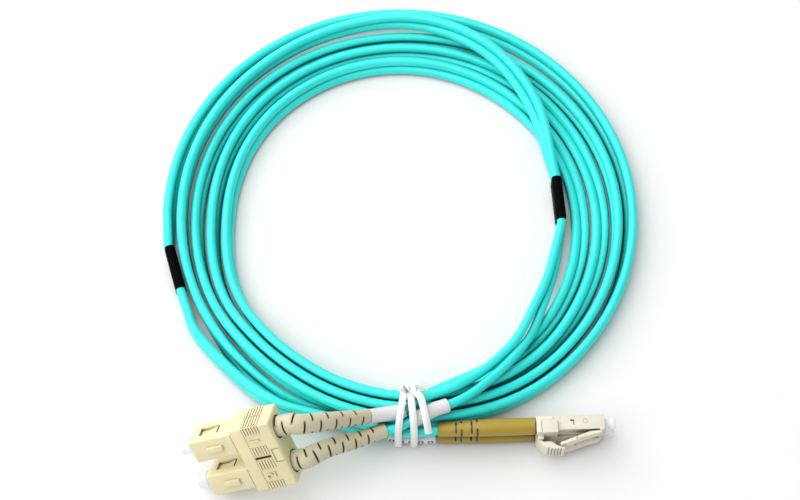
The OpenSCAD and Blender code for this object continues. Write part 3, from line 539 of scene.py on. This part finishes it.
for leg, start, length, across, paint in (
        ("sc_a", sc_boot_end + 0.3, 11.0, 4.3, label_white),
        ("sc_b", 37.0, 11.0, 4.3, label_white),
        ("lc_b", 23.0, 14.0, 3.7, marked_white)):
    tube = fine(stretch(leg_lines["leg_" + leg], start, start + length), 0.5)
    last = len(tube) - 1

    def oval(i):
        """A slightly flattened ring, drawn in at both ends."""
        r = across / 2 - (0.0 if 0 < i < last else 0.06)
        return [(x * 1.02, y * 0.99) for x, y in round_ring(r, LABEL_SIDES)]

    outer = sweep("tag_" + leg, tube, oval)
    bore = sweep("bore", [tube[0] + (tube[0] - tube[1])] + tube[1:-1] + [tube[-1] + (tube[-1] - tube[-2])],
                 lambda i: round_ring(across / 2 - LABEL_WALL, LABEL_SIDES))
    lay(cut(outwards(outer), outwards(bore)), paint, stands_for=["label_" + leg])

# ----------------------------------------
# Twist tie: a wire in a ribbed white plastic strip. Two wraps round the tied
# turns, a short twist on top, and two tails, one with a cut square end.
TIE_W, TIE_T = 2.15, 1.0
# One wrap: distance from the coil's centre, and height
TIE_LOOP = [(60.6, 1.6), (60.7, 4.6), (62.6, 11.4), (66.4, 16), (70.4, 17.4), (75.2, 16.6),
            (77.8, 13.2), (78.2, 8.6), (78.2, 2.6), (77.2, 0.8), (70, 0.66), (61.4, 0.7)]
TIE_MID = Vector((3, -70.5, 8))
TIE_WRAPS = [(1.8, -0.15), (3.0, 0.1)]  # x where a wrap is TIE_FROM from the centre, and its slant
TIE_FROM = 64
TIE_TAILS = [[(3.6, -66.2, 17.3), (6.1, -68.6, 17.9), (7.1, -72, 17.8), (8, -75.8, 16.1),
              (8.7, -78.3, 13)],
             [(2.6, -66, 17.2), (4.2, -64.9, 17.2), (6.2, -64.7, 16.9), (8.4, -65.1, 16.2)]]
TWIST_R, TWIST_TURN = 0.75, 0.36  # the twist's radius, and radians from a ring to the next
tie_white = Paint("tie_white", (0.68, 0.70, 0.68), roughness=0.38, specular_ior_level=0.5,
                  coat_weight=0.1)
cloud = tie_white.noise(350.0, 3.0)
open_tie = tie_white.mix(cloud, (0.82, 0.85, 0.83), (0.87, 0.89, 0.875))
# painted shade: grey-green in the tie's folds and where it lies within 2 mm of the cord
tie_white.set("Base Color", tie_white.mix(tie_white.hollow(0.002), (0.3, 0.38, 0.35), open_tie))
tie_white.bump(cloud, 0.25, 0.00005)


def strip(_, twisted=0.0, share=1.0):
    """Across the strip: the wire's round middle and ribbed wings on both faces."""
    w, t = TIE_W * share, TIE_T * share
    top = []
    for k in range(17):
        x = w / 2 - w * k / 16
        body = t / 2 * (0.62 + 0.38 * math.exp(-(x / (0.24 * w)) ** 2))
        rib = 0.07 * t * (1 - math.cos(2 * math.pi * k / 16 * 5)) / 2
        edge = math.sqrt(max(0.0, 1 - (abs(x) / (w / 2)) ** 6))
        top.append((x, (body - rib) * edge + 0.02))
    shape = top + [(x, -y) for x, y in reversed(top)]
    c, s = math.cos(twisted), math.sin(twisted)
    return [(x * c - y * s, x * s + y * c) for x, y in shape]


tie_parts = []
for start, slant in TIE_WRAPS:
    loop = [Vector((start + slant * (d - TIE_FROM), -d, z)) for d, z in TIE_LOOP]
    ring = smooth(loop[-1:] + loop + loop[:2], 5)[5:-5][:-1]
    wrap = sweep("wrap", ring, strip, closed=True,
                 up=lambda i: Vector((0, ring[i].y - TIE_MID.y, ring[i].z - TIE_MID.z)))
    tie_parts.append(wrap)
for tail in TIE_TAILS:
    tie_parts.append(sweep("tail", smooth(tail, 6), strip, up=lambda i: Vector((0, -0.2, 1))))
# The twist: both ends turned round each other over the wraps
twist = smooth([(0.4, -65.5, 16.3), (1.6, -65.7, 16.7), (3.2, -66, 17), (5.2, -66.5, 17.1)], 8)
for phase in (0.0, math.pi):
    turns = [TWIST_TURN * k + phase for k in range(len(twist))]
    line = [p + Vector((0, TWIST_R * math.cos(a), TWIST_R * math.sin(a))) for p, a in zip(twist, turns)]
    tie_parts.append(sweep("turn", line, lambda i: strip(i, turns[i], 0.75)))


def join(parts, name):
    """Makes one piece of several."""
    bpy.ops.object.select_all(action="DESELECT")
    for p in parts:
        p.select_set(True)
    bpy.context.view_layer.objects.active = parts[0]
    bpy.ops.object.join()
    parts[0].name = name
    return parts[0]


lay(outwards(join(tie_parts, "tie")), tie_white, stands_for=["twist_tie"], sharp=50)

# ----------------------------------------
# Push-pull grips: the outer shells of plugs A and B, moulded in beige plastic.
# Each has a key, a window in both sides and two short white bars behind the key.
SC_LEN, SC_WALL = 21.6, 0.75
SC_KEY_X, SC_KEY = -7.2, (5.5, 1.9, 0.9)  # its middle, and its length, width and height
SC_WINDOW, SC_WINDOW_H = (-9.0, -2.8), 3.6
SC_CORNER = (1.3, 0.62)  # what is eased off the front corners, along and across
SC_STEP_X, SC_STEP_DEEP = (-13.9, -13.45), 0.12
SC_BAR_X, SC_BAR_Y, SC_BAR_HALF = (-11.7, -11.0), 2.2, 1.1
SC_SIDES = (("a", -1), ("b", 1))


def mirrored(span, side):
    """A range on the plus side, or where side is negative, its mirror image."""
    return span if side > 0 else (-span[1], -span[0])


def block(name, x, y, z):
    """A rectangular block from x[0] to x[1] and so on, in mm."""
    bpy.ops.object.select_all(action="DESELECT")
    middle = tuple((low + high) / 2 for low, high in (x, y, z))
    bpy.ops.mesh.primitive_cube_add(size=1, location=middle)
    piece = bpy.context.object
    piece.name, piece.scale = name, (x[1] - x[0], y[1] - y[0], z[1] - z[0])
    bpy.ops.object.transform_apply(location=True, rotation=True, scale=True)
    return piece


def carve(piece, x, y, z):
    """Cuts a block out of a piece."""
    return cut(piece, block("tool", x, y, z))


def rod(name, a, b, d, sides=40):
    """A round rod from point a to point b."""
    a, b = Vector(a), Vector(b)
    bpy.ops.object.select_all(action="DESELECT")
    bpy.ops.mesh.primitive_cylinder_add(
        vertices=sides, radius=d / 2, depth=(b - a).length, location=(a + b) / 2,
        rotation=(b - a).to_track_quat("Z", "Y").to_euler())
    piece = bpy.context.object
    piece.name = name
    bpy.ops.object.transform_apply(location=True, rotation=True, scale=True)
    return piece


def plate(name, outline, y0, y1):
    """A plate with an outline in X and Z, from y0 to y1 thick."""
    mesh = bpy.data.meshes.new(name)
    mesh.from_pydata([(x, y0, z) for x, z in outline], [], [tuple(range(len(outline)))])
    piece = only(linked(name, mesh))
    bpy.ops.object.mode_set(mode="EDIT")
    bpy.ops.mesh.select_all(action="SELECT")
    bpy.ops.mesh.extrude_region_move(TRANSFORM_OT_translate={"value": (0, y1 - y0, 0)})
    bpy.ops.mesh.select_all(action="SELECT")
    bpy.ops.mesh.normals_make_consistent(inside=False)
    bpy.ops.object.mode_set(mode="OBJECT")
    return piece


def slab(name, outline, z0, z1):
    """A plate with an outline in X and Y, from z0 to z1 thick."""
    piece = plate(name, outline, -z1, -z0)
    piece.data.transform(Matrix.Rotation(math.radians(-90), 4, "X"))
    return piece


def ease(piece, width, segments=2, angle=35):
    """Rounds the edges that are sharper than angle."""
    m = only(piece).modifiers.new("ease", "BEVEL")
    m.width, m.segments, m.limit_method, m.angle_limit = width, segments, "ANGLE", math.radians(angle)
    m.use_clamp_overlap = True
    bpy.ops.object.modifier_apply(modifier="ease")
    return piece


def mould(name, color, rough, fleck, reach=0.003, high_at=0.75, **sockets):
    """A moulded plastic: fine spark-eroded texture, faint flow marks, and painted shade,
    a much darker colour in the hollows and corners within reach (m) of other surfaces."""
    p = Paint(name, color, roughness=rough, specular_ior_level=0.45, **sockets)
    flow = p.noise(55.0, 3.0, stretch=(1.0, 2.2, 0.8))
    spark = p.noise(2600.0, 2.0)
    low = tuple(c * (1 - fleck) for c in color)
    high = tuple(min(1.0, c * (1 + fleck * 0.6)) for c in color)
    # painted shade: the colour falls to a fifth of itself or less deep in hollows and near other surfaces
    painted_shade = tuple(c * f for c, f in zip(color, (0.2, 0.17, 0.12)))
    unshaded = p.mix(flow.ramp(0.3, 0.72), low, high)
    p.set("Base Color", p.mix(p.hollow(reach, 0.2, high_at), painted_shade, unshaded))
    p.set("Roughness", flow.ramp(0.25, 0.75, rough - 0.05, rough + 0.06))
    p.bump(spark * 0.7 + flow * 0.3, 0.18, 0.00004)
    return p


beige = mould("plug_beige", (0.80, 0.71, 0.43), 0.42, 0.05)
bar_white = Paint("bar_white", (0.74, 0.72, 0.60), roughness=0.5)
bar_white.bump(bar_white.noise(900.0, 2.0), 0.2, 0.00004)


def grip(name):
    w, h = SC_W / 2, SC_H / 2
    body = ease(block(name, (-SC_LEN, 0), (-w, w), (-h, h)), 0.55, 3)
    body = carve(body, (-SC_LEN - 1, 1), (-w + SC_WALL, w - SC_WALL), (-h + SC_WALL, h - SC_WALL))
    body = carve(body, SC_WINDOW, (-w - 1, w + 1), (-SC_WINDOW_H / 2, SC_WINDOW_H / 2))
    x, (l, k, t) = SC_KEY_X, SC_KEY
    nose = [(x + l / 2 - k / 2 + k / 2 * math.cos(a), k / 2 * math.sin(a))
            for a in [math.radians(d) for d in range(-90, 91, 12)]]
    key = slab("key", [(x - l / 2, k / 2), (x - l / 2, -k / 2)] + nose, h - 0.3, h + t)
    body = fuse(body, ease(key, 0.14, 2, 60))
    # front corners eased back on both sides
    back, off = SC_CORNER
    for s in (-1, 1):
        wedge = [(-back, s * w), (0.3, s * (w - off)), (0.3, s * (w + 1)), (-back, s * (w + 1))]
        body = cut(body, slab("corner", wedge, -h - 1, h + 2))
    # shallow step round the neck, where the grip goes into the clip
    for z in (h, -h):
        body = carve(body, SC_STEP_X, (-w - 1, w + 1), (z - SC_STEP_DEEP, z + SC_STEP_DEEP))
    return ease(body, 0.05, 1, 60)


for letter, side in SC_SIDES:
    lay(grip(f"grip_{letter}"), beige, body="sc_grip",
        stands_for=[f"sc_housing_{letter}"], sharp=35, place=sc_at(side))
    bars = [block("bar", SC_BAR_X, (s * SC_BAR_Y - SC_BAR_HALF, s * SC_BAR_Y + SC_BAR_HALF),
                  (SC_H / 2 - 0.05, SC_H / 2 + 0.04)) for s in (-1, 1)]
    lay(join(bars, f"bars_{letter}"), bar_white, body="sc_grip", place=sc_at(side))

# ----------------------------------------
# Duplex clip of the push-pull plugs: two moulded halves closed round both grips,
# with ribbed finger pads, the plugs' numbers, a centre slot and a snap tab.
SC_CLIP_W, SC_CLIP_H = 22.8, 10.0
CLIP_X = (-SC_EXPOSED - SC_CLIP_LEN, -SC_EXPOSED)
PAD_X = (CLIP_X[1] - 9.2, CLIP_X[1] - 3.9)  # the sunk strip across each face
PAD_DEPTH = 0.16
RIB_GROUPS = ((-11.3, -8.6), (-4.0, -0.85), (0.85, 4.0), (8.6, 11.3))
RIBS, RIB_HALF, RIB_RISE = 6, 0.3, 0.12
NUMBERS = ((-6.3, "1"), (6.3, "2"))
SLOT_HALF, SLOT_DEEP = 0.42, 3
TAB_LEN, TAB_HALF, TAB_DEEP = 2.9, 2.5, 0.3
CLEAR = 0.05  # between the grips and the pockets that hold them
SC_BOOT_D = 6.2


def numeral(text, size, thick):
    """A raised numeral, its top towards the front of the plug."""
    curve = bpy.data.curves.new("numeral", "FONT")
    curve.body, curve.size, curve.extrude, curve.offset = text, size, thick / 2, 0.08
    curve.align_x, curve.align_y = "CENTER", "CENTER"
    only(linked("numeral", curve))
    bpy.ops.object.convert(target="MESH")
    piece = bpy.context.object
    piece.data.transform(Matrix.Rotation(math.radians(-90), 4, "Z"))
    return piece


def clip_half(name, k):
    """The half on the key side (k = 1) or on the other side (k = -1)."""
    w, h = SC_CLIP_W / 2, SC_CLIP_H / 2
    rear, front = CLIP_X
    body = ease(block(name, CLIP_X, (-w, w), (-h, h)), 0.6, 3)
    body = carve(body, (rear - 1, front + 1), (-w - 1, w + 1),
                 (-h - 1, 0.02) if k > 0 else (0.0, h + 1))
    for side in (-1, 1):
        y = side * SC_PITCH / 2
        body = carve(body, (-SC_LEN - CLEAR, front + 1), (y - SC_W / 2 - CLEAR, y + SC_W / 2 + CLEAR),
                     (-SC_H / 2 - CLEAR, SC_H / 2 + CLEAR))
        body = cut(body, rod("mouth", (rear - 1, y, 0), (front, y, 0), SC_BOOT_D + 0.7, 48))
    body = carve(body, PAD_X, (-w - 1, w + 1), mirrored((h - PAD_DEPTH, h + 1), k))
    for s in (-1, 1):
        body = carve(body, PAD_X, mirrored((w - PAD_DEPTH, w + 1), s), (-h - 1, h + 1))
    # centre slot, and the snap tab's outline near the rear edge
    body = carve(body, (PAD_X[0] + 0.1, PAD_X[1] - 0.1), (-SLOT_HALF, SLOT_HALF),
                 mirrored((h - SLOT_DEEP, h + 1), k))
    body = carve(body, (rear - 1, rear + TAB_LEN), (-TAB_HALF, TAB_HALF),
                 mirrored((h - TAB_DEEP, h + 1), k))
    tongue = block("tongue", (rear + 0.35, rear + 2.5), (-2.1, 2.1), mirrored((h - 0.5, h - 0.03), k))
    body = fuse(body, ease(tongue, 0.05, 1))
    return ease(body, 0.05, 1, 50)


def ribs(k):
    """The pads' ribs and numbers: short raised bars, wrapped round the ends."""
    h, w = SC_CLIP_H / 2, SC_CLIP_W / 2
    out = []
    step = (PAD_X[1] - PAD_X[0]) / RIBS
    for n in range(RIBS):
        x = PAD_X[0] + step * (n + 0.5)
        across = (x - RIB_HALF, x + RIB_HALF)
        for y in RIB_GROUPS:
            out.append(block("rib", across, y, mirrored((h - PAD_DEPTH - 0.1, h + RIB_RISE), k)))
        for s in (-1, 1):
            out.append(block("rib", across, mirrored((w - PAD_DEPTH - 0.1, w + 0.1), s),
                             mirrored((0.15, h - 0.35), k)))
    for y, text in NUMBERS:
        mark = numeral(text, 4.4, 0.7)
        if k < 0:
            mark.data.transform(Matrix.Rotation(math.pi, 4, "X"))
        mark.data.transform(Matrix.Translation(((PAD_X[0] + PAD_X[1]) / 2, y, k * h - k * 0.09)))
        out.append(mark)
    return ease(join(out, "ribs"), 0.06, 1, 50)


for name, k in (("clip_sc_upper", 1), ("clip_sc_lower", -1)):
    lay(join([clip_half(name, k), ribs(k)], name), beige, body="sc_grip",
        stands_for=[name.replace("clip_sc", "sc_clip")], sharp=35, place=SC)

# ----------------------------------------
# Boots of the push-pull plugs: soft beige sleeves that taper along the leg, with
# twelve slots cut half through from both sides in turn so that they bend.
SC_BOOT_X = -SC_LEN - 2.3
SC_BOOT_END_D = 4.4
STRAIGHT = 7.0  # the length before it tapers
SLOTS = {"a": (3.0, 2.37), "b": (4.8, 2.06)}  # the first one's place along the boot, their spacing
SLOT_COUNT, SLOT_W = 12, 0.62
boot_beige = mould("boot_beige", (0.60, 0.55, 0.38), 0.5, 0.06)

for letter, side in SC_SIDES:
    leg = leg_lines[f"leg_sc_{letter}"]
    total = SC_BOOT_X - SC_CRIMP_X + sc_boot_end
    mouth = on_sc(SC_BOOT_X, side)
    line = fine([mouth] + stretch([mouth] + leg[1:], 0.3, total), 0.55)
    step = total / (len(line) - 1)

    def radius(i):
        along = max(0.0, (i * step - STRAIGHT) / (total - STRAIGHT))
        r = (SC_BOOT_D + (SC_BOOT_END_D - SC_BOOT_D) * along) / 2
        return r - (0.12 if i in (0, len(line) - 1) else 0.0)

    boot = outwards(sweep(f"boot_sc_{letter}", line, lambda i: round_ring(radius(i), 32)))
    longer = [line[0] + (line[0] - line[1]) * 2] + line[1:-1] + [line[-1] + (line[-1] - line[-2]) * 2]
    boot = cut(boot, outwards(sweep("bore", longer, lambda i: round_ring(LEG_D / 2 + 0.12, 24))))
    boot = cut(boot, rod("crimp_room", on_sc(0, side), on_sc(SC_CRIMP_X - 2, side), 4.7, 32))
    start, gap = SLOTS[letter]
    for n in range(SLOT_COUNT):
        # on the plug's sides and on its key and base faces in turn, both faces cut
        along = start + n * gap
        i = round(along / step)
        d = (line[min(i + 1, len(line) - 1)] - line[i - 1]).normalized()
        aim = SC_TURN @ (Vector((0, -1, 0)) if (n % 2 == 0) == (side < 0) else Vector((0, 0, 1)))
        v = d.cross(aim).normalized()
        frame_of = Matrix((d, v.cross(d), v)).transposed().to_4x4()
        frame_of.translation = line[i - 1].lerp(line[i], along / step - (i - 1))
        deep = 0.5 * radius(i) + SLOT_W / 2  # from the axis to the middle of the slot's round end
        for s in (-1, 1):
            slot = block("slot", (-SLOT_W / 2, SLOT_W / 2), mirrored((deep, 6), s), (-4, 4))
            slot = fuse(slot, rod("slot_end", (0, s * deep, -4), (0, s * deep, 4), SLOT_W, 12))
            slot.data.transform(frame_of)
            boot = cut(boot, slot)
    lay(ease(boot, 0.05, 1, 50), boot_beige, stands_for=[f"sc_boot_{letter}"], sharp=35)

# ----------------------------------------
# Dust caps of the push-pull plugs: soft clear-white tubes closed at the front,
# pushed over the ferrules, with a thicker rim to pull on.
cap_clear = Paint("cap_clear", (0.90, 0.92, 0.92), roughness=0.4, alpha=0.5, specular_ior_level=0.3)
haze = cap_clear.noise(300.0, 2.0)
cap_clear.set("Base Color", cap_clear.mix(haze, (0.87, 0.90, 0.90), (0.94, 0.955, 0.955)))
cap_clear.set("Roughness", haze.ramp(0.3, 0.7, 0.36, 0.48))


def turned(name, profile, sides=48):
    """A round piece about X, from points along x and out from the axis."""
    mesh = bpy.data.meshes.new(name)
    edges = [(i, i + 1) for i in range(len(profile) - 1)]
    mesh.from_pydata([(x, r, 0) for x, r in profile], edges, [])
    piece = only(linked(name, mesh))
    bpy.ops.object.mode_set(mode="EDIT")
    bpy.ops.mesh.select_all(action="SELECT")
    bpy.ops.mesh.spin(steps=sides, angle=2 * math.pi, center=(0, 0, 0), axis=(1, 0, 0))
    bpy.ops.object.mode_set(mode="OBJECT")
    return outwards(piece)


AXIS = 0.0001  # all but on the axis, where a profile closes
SC_CAP = [(-5.2, 1.42), (-5.2, 1.85), (-5.0, 2.05), (1.2, 2.08), (1.45, 2.2), (1.6, 2.42),
          (4.3, 2.5), (4.6, 2.4), (4.7, 2.15), (4.7, 1.6), (4.35, 1.5), (4.3, AXIS), (1.2, AXIS),
          (1.2, 1.35), (-4.9, 1.35), (-5.2, 1.42)]
for letter, side in SC_SIDES:
    lay(turned(f"cap_sc_{letter}", SC_CAP), cap_clear, body=f"sc_cap_{letter}",
        stands_for=[f"sc_cap_{letter}"], place=sc_at(side))

# ----------------------------------------
# Inside the push-pull plugs: frames with ramps that show in the windows, white
# ceramic ferrules, plated bodies, crimps and springs, and the buffered fibres.
frame_beige = mould("frame_beige", (0.78, 0.69, 0.41), 0.4, 0.04)
ceramic = Paint("zirconia", (0.87, 0.86, 0.82), roughness=0.16, specular_ior_level=0.6,
                coat_weight=0.3)
ceramic.set("Roughness", ceramic.noise(800.0, 2.0).ramp(0.3, 0.7, 0.12, 0.2))
steel = Paint("plated_steel", (0.62, 0.63, 0.65), roughness=0.3, metallic=1.0)
turning = steel.noise(1500.0, 2.0, stretch=(1.0, 0.05, 0.05))
steel.set("Roughness", turning.ramp(0.3, 0.7, 0.22, 0.4))
steel.bump(turning, 0.15, 0.00003)
buffer_yellow = Paint("fibre_buffer", (0.68, 0.55, 0.12), roughness=0.4)
buffer_yellow.set("Roughness", buffer_yellow.noise(700.0, 2.0).ramp(0.3, 0.7, 0.34, 0.48))


def finish_cad(paint, *names):
    """Gives a solid that keeps its own shape a better finish."""
    for n in names:
        cad[n].data.materials.clear()
        cad[n].data.materials.append(paint.material)


for letter in "ab":
    finish_cad(frame_beige, f"sc_frame_{letter}")
    for kind, paint in (("ferrule", ceramic), ("spring", steel), ("body", steel), ("crimp", steel),
                        ("fibre", buffer_yellow)):
        finish_cad(paint, f"sc_{kind}_{letter}", f"lc_{kind}_{letter}")

# ----------------------------------------
# Latching plugs: two slim cream housings side by side, each with a round mouth, a
# small hooked window in its outer face and a bent latch arm over its top.
LC_NOSE = 4.5
HALF = LC_NOSE / 2
LC_HINGE = (-1.1, HALF + 0.15)  # x and z
LC_HOOK = (((-10.2, -9.0), (-0.85, -0.35)), ((-9.5, -9.0), (-0.85, 0.85)))  # x and z of its two bars
LC_HOOK_DEEP = 0.8
LC_NOTCH_X, LC_NOTCH_DEEP = (-15.3, -13.0), 0.3
LC_COLLAR_X = (-LC_LEN - 0.95, -LC_LEN + 0.3)
LC_GROOVE_X, LC_GROOVE_DEEP = (-LC_LEN - 0.35, -LC_LEN - 0.12), 0.25
LC_MARK_X, LC_MARK_Z = -5.7, -0.25
LC_BORE_D = 3.4
cream = mould("lc_cream", (0.76, 0.72, 0.59), 0.38, 0.04)


def lc_at(letter):
    """Where plug A (the upper one) or B lies, and +1 or -1 for its outer side."""
    side = 1 if letter == "a" else -1
    return LC @ Matrix.Translation((0, side * LC_PITCH / 2, 0)), side


def lc_housing(name, side):
    hinge_x, far = LC_HINGE[0], HALF + 1
    body = ease(block(name, (-LC_LEN, 0), (-HALF, HALF), (-HALF, HALF)), 0.22, 2)
    root = block("root", (hinge_x - 0.4, hinge_x + 0.95), (-HALF, HALF), (HALF - 0.3, HALF + 0.2))
    body = fuse(body, ease(root, 0.12, 2))
    body = cut(body, rod("mouth", (-6.4, 0, 0), (1, 0, 0), 3.3))
    body = cut(body, rod("hole", (-8.4, 0, 0), (1, 0, 0), 1.6, 24))
    body = cut(body, rod("chamber", (-LC_LEN - 1, 0, 0), (-7.4, 0, 0), LC_BORE_D))
    body = carve(body, (hinge_x - 3, hinge_x + 0.1), (-HALF + 0.3, HALF - 0.3), (HALF - 0.5, far))
    for x, z in LC_HOOK:
        body = carve(body, x, mirrored((HALF - LC_HOOK_DEEP, far), side), z)
    body = carve(body, LC_NOTCH_X, mirrored((HALF - LC_NOTCH_DEEP, far), side), (-far, -HALF + 1.0))
    collar = block("collar", LC_COLLAR_X, (-HALF, HALF), (-HALF, HALF))
    body = fuse(body, ease(collar, 0.08, 1))
    body = carve(body, LC_GROOVE_X, mirrored((HALF - LC_GROOVE_DEEP, far), side), (-far, -0.4))
    body = cut(body, rod("collar_bore", (-LC_LEN - 2, 0, 0), (-LC_LEN + 1, 0, 0), LC_BORE_D))

    def dot(label, y0, y1, d):
        return rod(label, (LC_MARK_X, y0, LC_MARK_Z), (LC_MARK_X, y1, LC_MARK_Z), d, 32)

    # ejector mark: a shallow ring
    out = side * HALF
    mark = dot("mark", out - side * 0.12, out + side, 1.5)
    body = cut(body, cut(mark, dot("mark_mid", out - side, out + side * 2, 1.15)))
    return ease(body, 0.04, 1, 60)


def latch(name):
    """The arm, from its root back and up to its turned tip."""
    px, pz = LC_HINGE
    # back from the hinge and up from it, along the under face and home over the top
    profile = [(-0.3, 0.02), (3.4, 0.37), (9.4, 2.45), (12.4, 3.52),
               (12.15, 4.18), (9.2, 3.35), (3.3, 1.45), (0.4, 0.9), (-0.35, 0.6)]
    shoulders = [(4.9, 0.95), (6.6, 1.55), (6.9, 2.5), (5.2, 1.95)]
    arm = plate(name, [(px - x, pz + z) for x, z in profile], -1.6, 1.6)
    arm = fuse(arm, plate("shoulders", [(px - x, pz + z) for x, z in shoulders], -1.85, 1.85))
    arm = carve(arm, (px - 14, px - 10.6), (-0.5, 0.5), (pz + 1, pz + 8))
    for s in (-1, 1):
        arm = carve(arm, (px - 7.6, px - 7.1), (s * 1.6 - 0.35, s * 1.6 + 0.35), (pz + 1, pz + 4))
    arm = fuse(arm, rod("pin", (px, -HALF + 0.3, pz), (px, HALF - 0.3, pz), 0.88, 24))
    return ease(arm, 0.06, 1, 40)


for letter in "ab":
    at, side = lc_at(letter)
    lay(lc_housing(f"housing_lc_{letter}", side), cream,
        stands_for=[f"lc_housing_{letter}"], sharp=35, place=at)
    lay(latch(f"latch_lc_{letter}"), cream, body=f"lc_latch_{letter}",
        stands_for=[f"lc_latch_{letter}"], sharp=35, place=at)

# ----------------------------------------
# Duplex clip of the latching plugs: a saddle astride both housings with two ears,
# and a curved trigger with ribs that is pinned between them and bears on both arms.
LC_BOOT_X = -20.4
CLIP_LC_X = (LC_BOOT_X + 0.1, LC_BOOT_X + 6.3)
TRIGGER_AT = (CLIP_LC_X[0] + 1.0, HALF + 1.6)
TRIGGER_W = 6.5
saddle_z = HALF + 0.05

saddle = block("clip_lc", CLIP_LC_X, (-LC_CLIP_W / 2, LC_CLIP_W / 2), (saddle_z, saddle_z + 1))
for side in (-1, 1):
    wall = (LC_PITCH / 2 + HALF + 0.05, LC_CLIP_W / 2)
    ear = (TRIGGER_W / 2 + 0.1, TRIGGER_W / 2 + 0.9)
    saddle = fuse(saddle, block("wall", CLIP_LC_X, mirrored(wall, side), (-0.6, saddle_z + 1)))
    ear = block("ear", (TRIGGER_AT[0] - 0.7, TRIGGER_AT[0] + 1.1), mirrored(ear, side),
                (saddle_z + 0.5, saddle_z + 2.2))
    saddle = fuse(saddle, ease(ear, 0.3, 2, 60))
saddle = fuse(saddle, block("middle", CLIP_LC_X, (-0.82, 0.82), (-0.6, saddle_z + 0.5)))
saddle = ease(saddle, 0.16, 2, 40)
for side in (-1, 1):
    # the groove down each outer wall
    y = side * LC_CLIP_W / 2
    saddle = carve(saddle, (CLIP_LC_X[0] + 1.35, CLIP_LC_X[0] + 1.6), (y - 0.2, y + 0.2),
                   (-2, saddle_z + 3))
lay(ease(saddle, 0.03, 1, 60), cream, stands_for=["lc_clip"], sharp=35, place=LC)

# The trigger's inner and outer faces, forwards and up from its pin
TRIGGER_IN = [(0.5, -0.3), (0.48, 0.4), (0.9, 1.12), (3.2, 1.2), (4.4, 2.1), (5.6, 2.8), (7.1, 3.0)]
TRIGGER_OUT = [(7.1, 3.55), (5.2, 3.6), (3.2, 3.5), (1.8, 3.05), (0.7, 2.25), (-0.35, 0.95),
               (-0.85, 0.1), (-0.9, -0.3)]
GROOVE_FLOORS = (2.98, 3.2, 3.3, 3.3, 3.3)
trigger_x, trigger_z = TRIGGER_AT
half_w = TRIGGER_W / 2
faces = [p for face in (TRIGGER_IN, TRIGGER_OUT)
         for p in smooth([Vector((x, 0, z)) for x, z in face], 5)]
trigger = plate("trigger_lc", [(trigger_x + p.x, trigger_z + p.z) for p in faces], -half_w, half_w)
trigger = fuse(trigger, rod("pin", (trigger_x, -half_w - 0.6, trigger_z),
                            (trigger_x, half_w + 0.6, trigger_z), 0.98, 24))
for n, floor in enumerate(GROOVE_FLOORS):
    # grooves between the ribs across the outer face
    x = trigger_x + 2.4 + 0.9 * n
    trigger = carve(trigger, (x - 0.17, x + 0.17), (-half_w - 1, half_w + 1),
                    (trigger_z + floor, trigger_z + 7))
lay(ease(trigger, 0.06, 1, 45), cream, body="lc_trigger", stands_for=["lc_trigger"],
    sharp=40, place=LC)

# ----------------------------------------
# Boots of the latching plugs: ochre rubber sleeves that taper to the leg, with
# four rings of slits near the end.
LC_BOOT_END = -LC_LEN - LC_BOOT_LEN
LC_BOOT_RING = [(LC_BOOT_X, 1.98), (LC_BOOT_X, 2.4), (LC_BOOT_X - 0.25, 2.58), (LC_BOOT_X - 8, 2.6),
                (LC_BOOT_END + 16, 2.58), (LC_BOOT_END + 12, 2.52), (LC_BOOT_END + 5, 2.25),
                (LC_BOOT_END + 0.3, 2.1), (LC_BOOT_END, 1.9), (LC_BOOT_END, 1.55),
                (-30, 1.55), (-30, 1.98), (LC_BOOT_X, 1.98)]
SLIT_RINGS = ((5.2, "sides"), (6.8, "faces"), (9.8, "sides"), (11.5, "faces"))  # along from the end
SLIT_FROM, SLIT_W = 0.95, 0.55
# painted shade reaching 8 mm, which darkens the boots' lower sides near the table and near each other
gold = mould("boot_gold", (0.39, 0.27, 0.025), 0.4, 0.06, 0.008, 1.0, coat_weight=0.15,
             coat_roughness=0.25)
for letter in "ab":
    at, side = lc_at(letter)
    boot = turned(f"boot_lc_{letter}", LC_BOOT_RING, 48)
    for along, where in SLIT_RINGS:
        x = LC_BOOT_END + along
        for s in (-1, 1):
            span = mirrored((SLIT_FROM, 5), s)
            y, z = (span, (-4, 4)) if where == "sides" else ((-4, 4), span)
            boot = carve(boot, (x, x + SLIT_W), y, z)
    lay(ease(boot, 0.03, 1, 60), gold, stands_for=[f"lc_boot_{letter}"], sharp=35,
        place=at)

# ----------------------------------------
# Dust caps of the latching plugs: small clear-white plugs with a flange and a
# button head.
LC_CAP = [(-4.5, 0.75), (-4.5, 1.4), (-4.3, 1.55), (0.3, 1.55), (0.6, 1.35), (1.7, 1.3),
          (1.9, 1.9), (2.1, 2.0), (2.9, 2.0), (3.15, 1.85), (3.3, 1.5), (3.3, AXIS), (1.0, AXIS),
          (1.0, 0.72), (-4.2, 0.72), (-4.5, 0.75)]
for letter in "ab":
    at, side = lc_at(letter)
    lay(turned(f"cap_lc_{letter}", LC_CAP, 40), cap_clear, body=f"lc_cap_{letter}",
        stands_for=[f"lc_cap_{letter}"], place=at)

# ----------------------------------------
# The coil and its four legs are free cord, 1.86 m and 4 x 0.13 m long; the loop below works out each leg's
# length and keeps it nowhere.
for name, line in leg_lines.items():
    0.134 if "sc" in name else 0.130
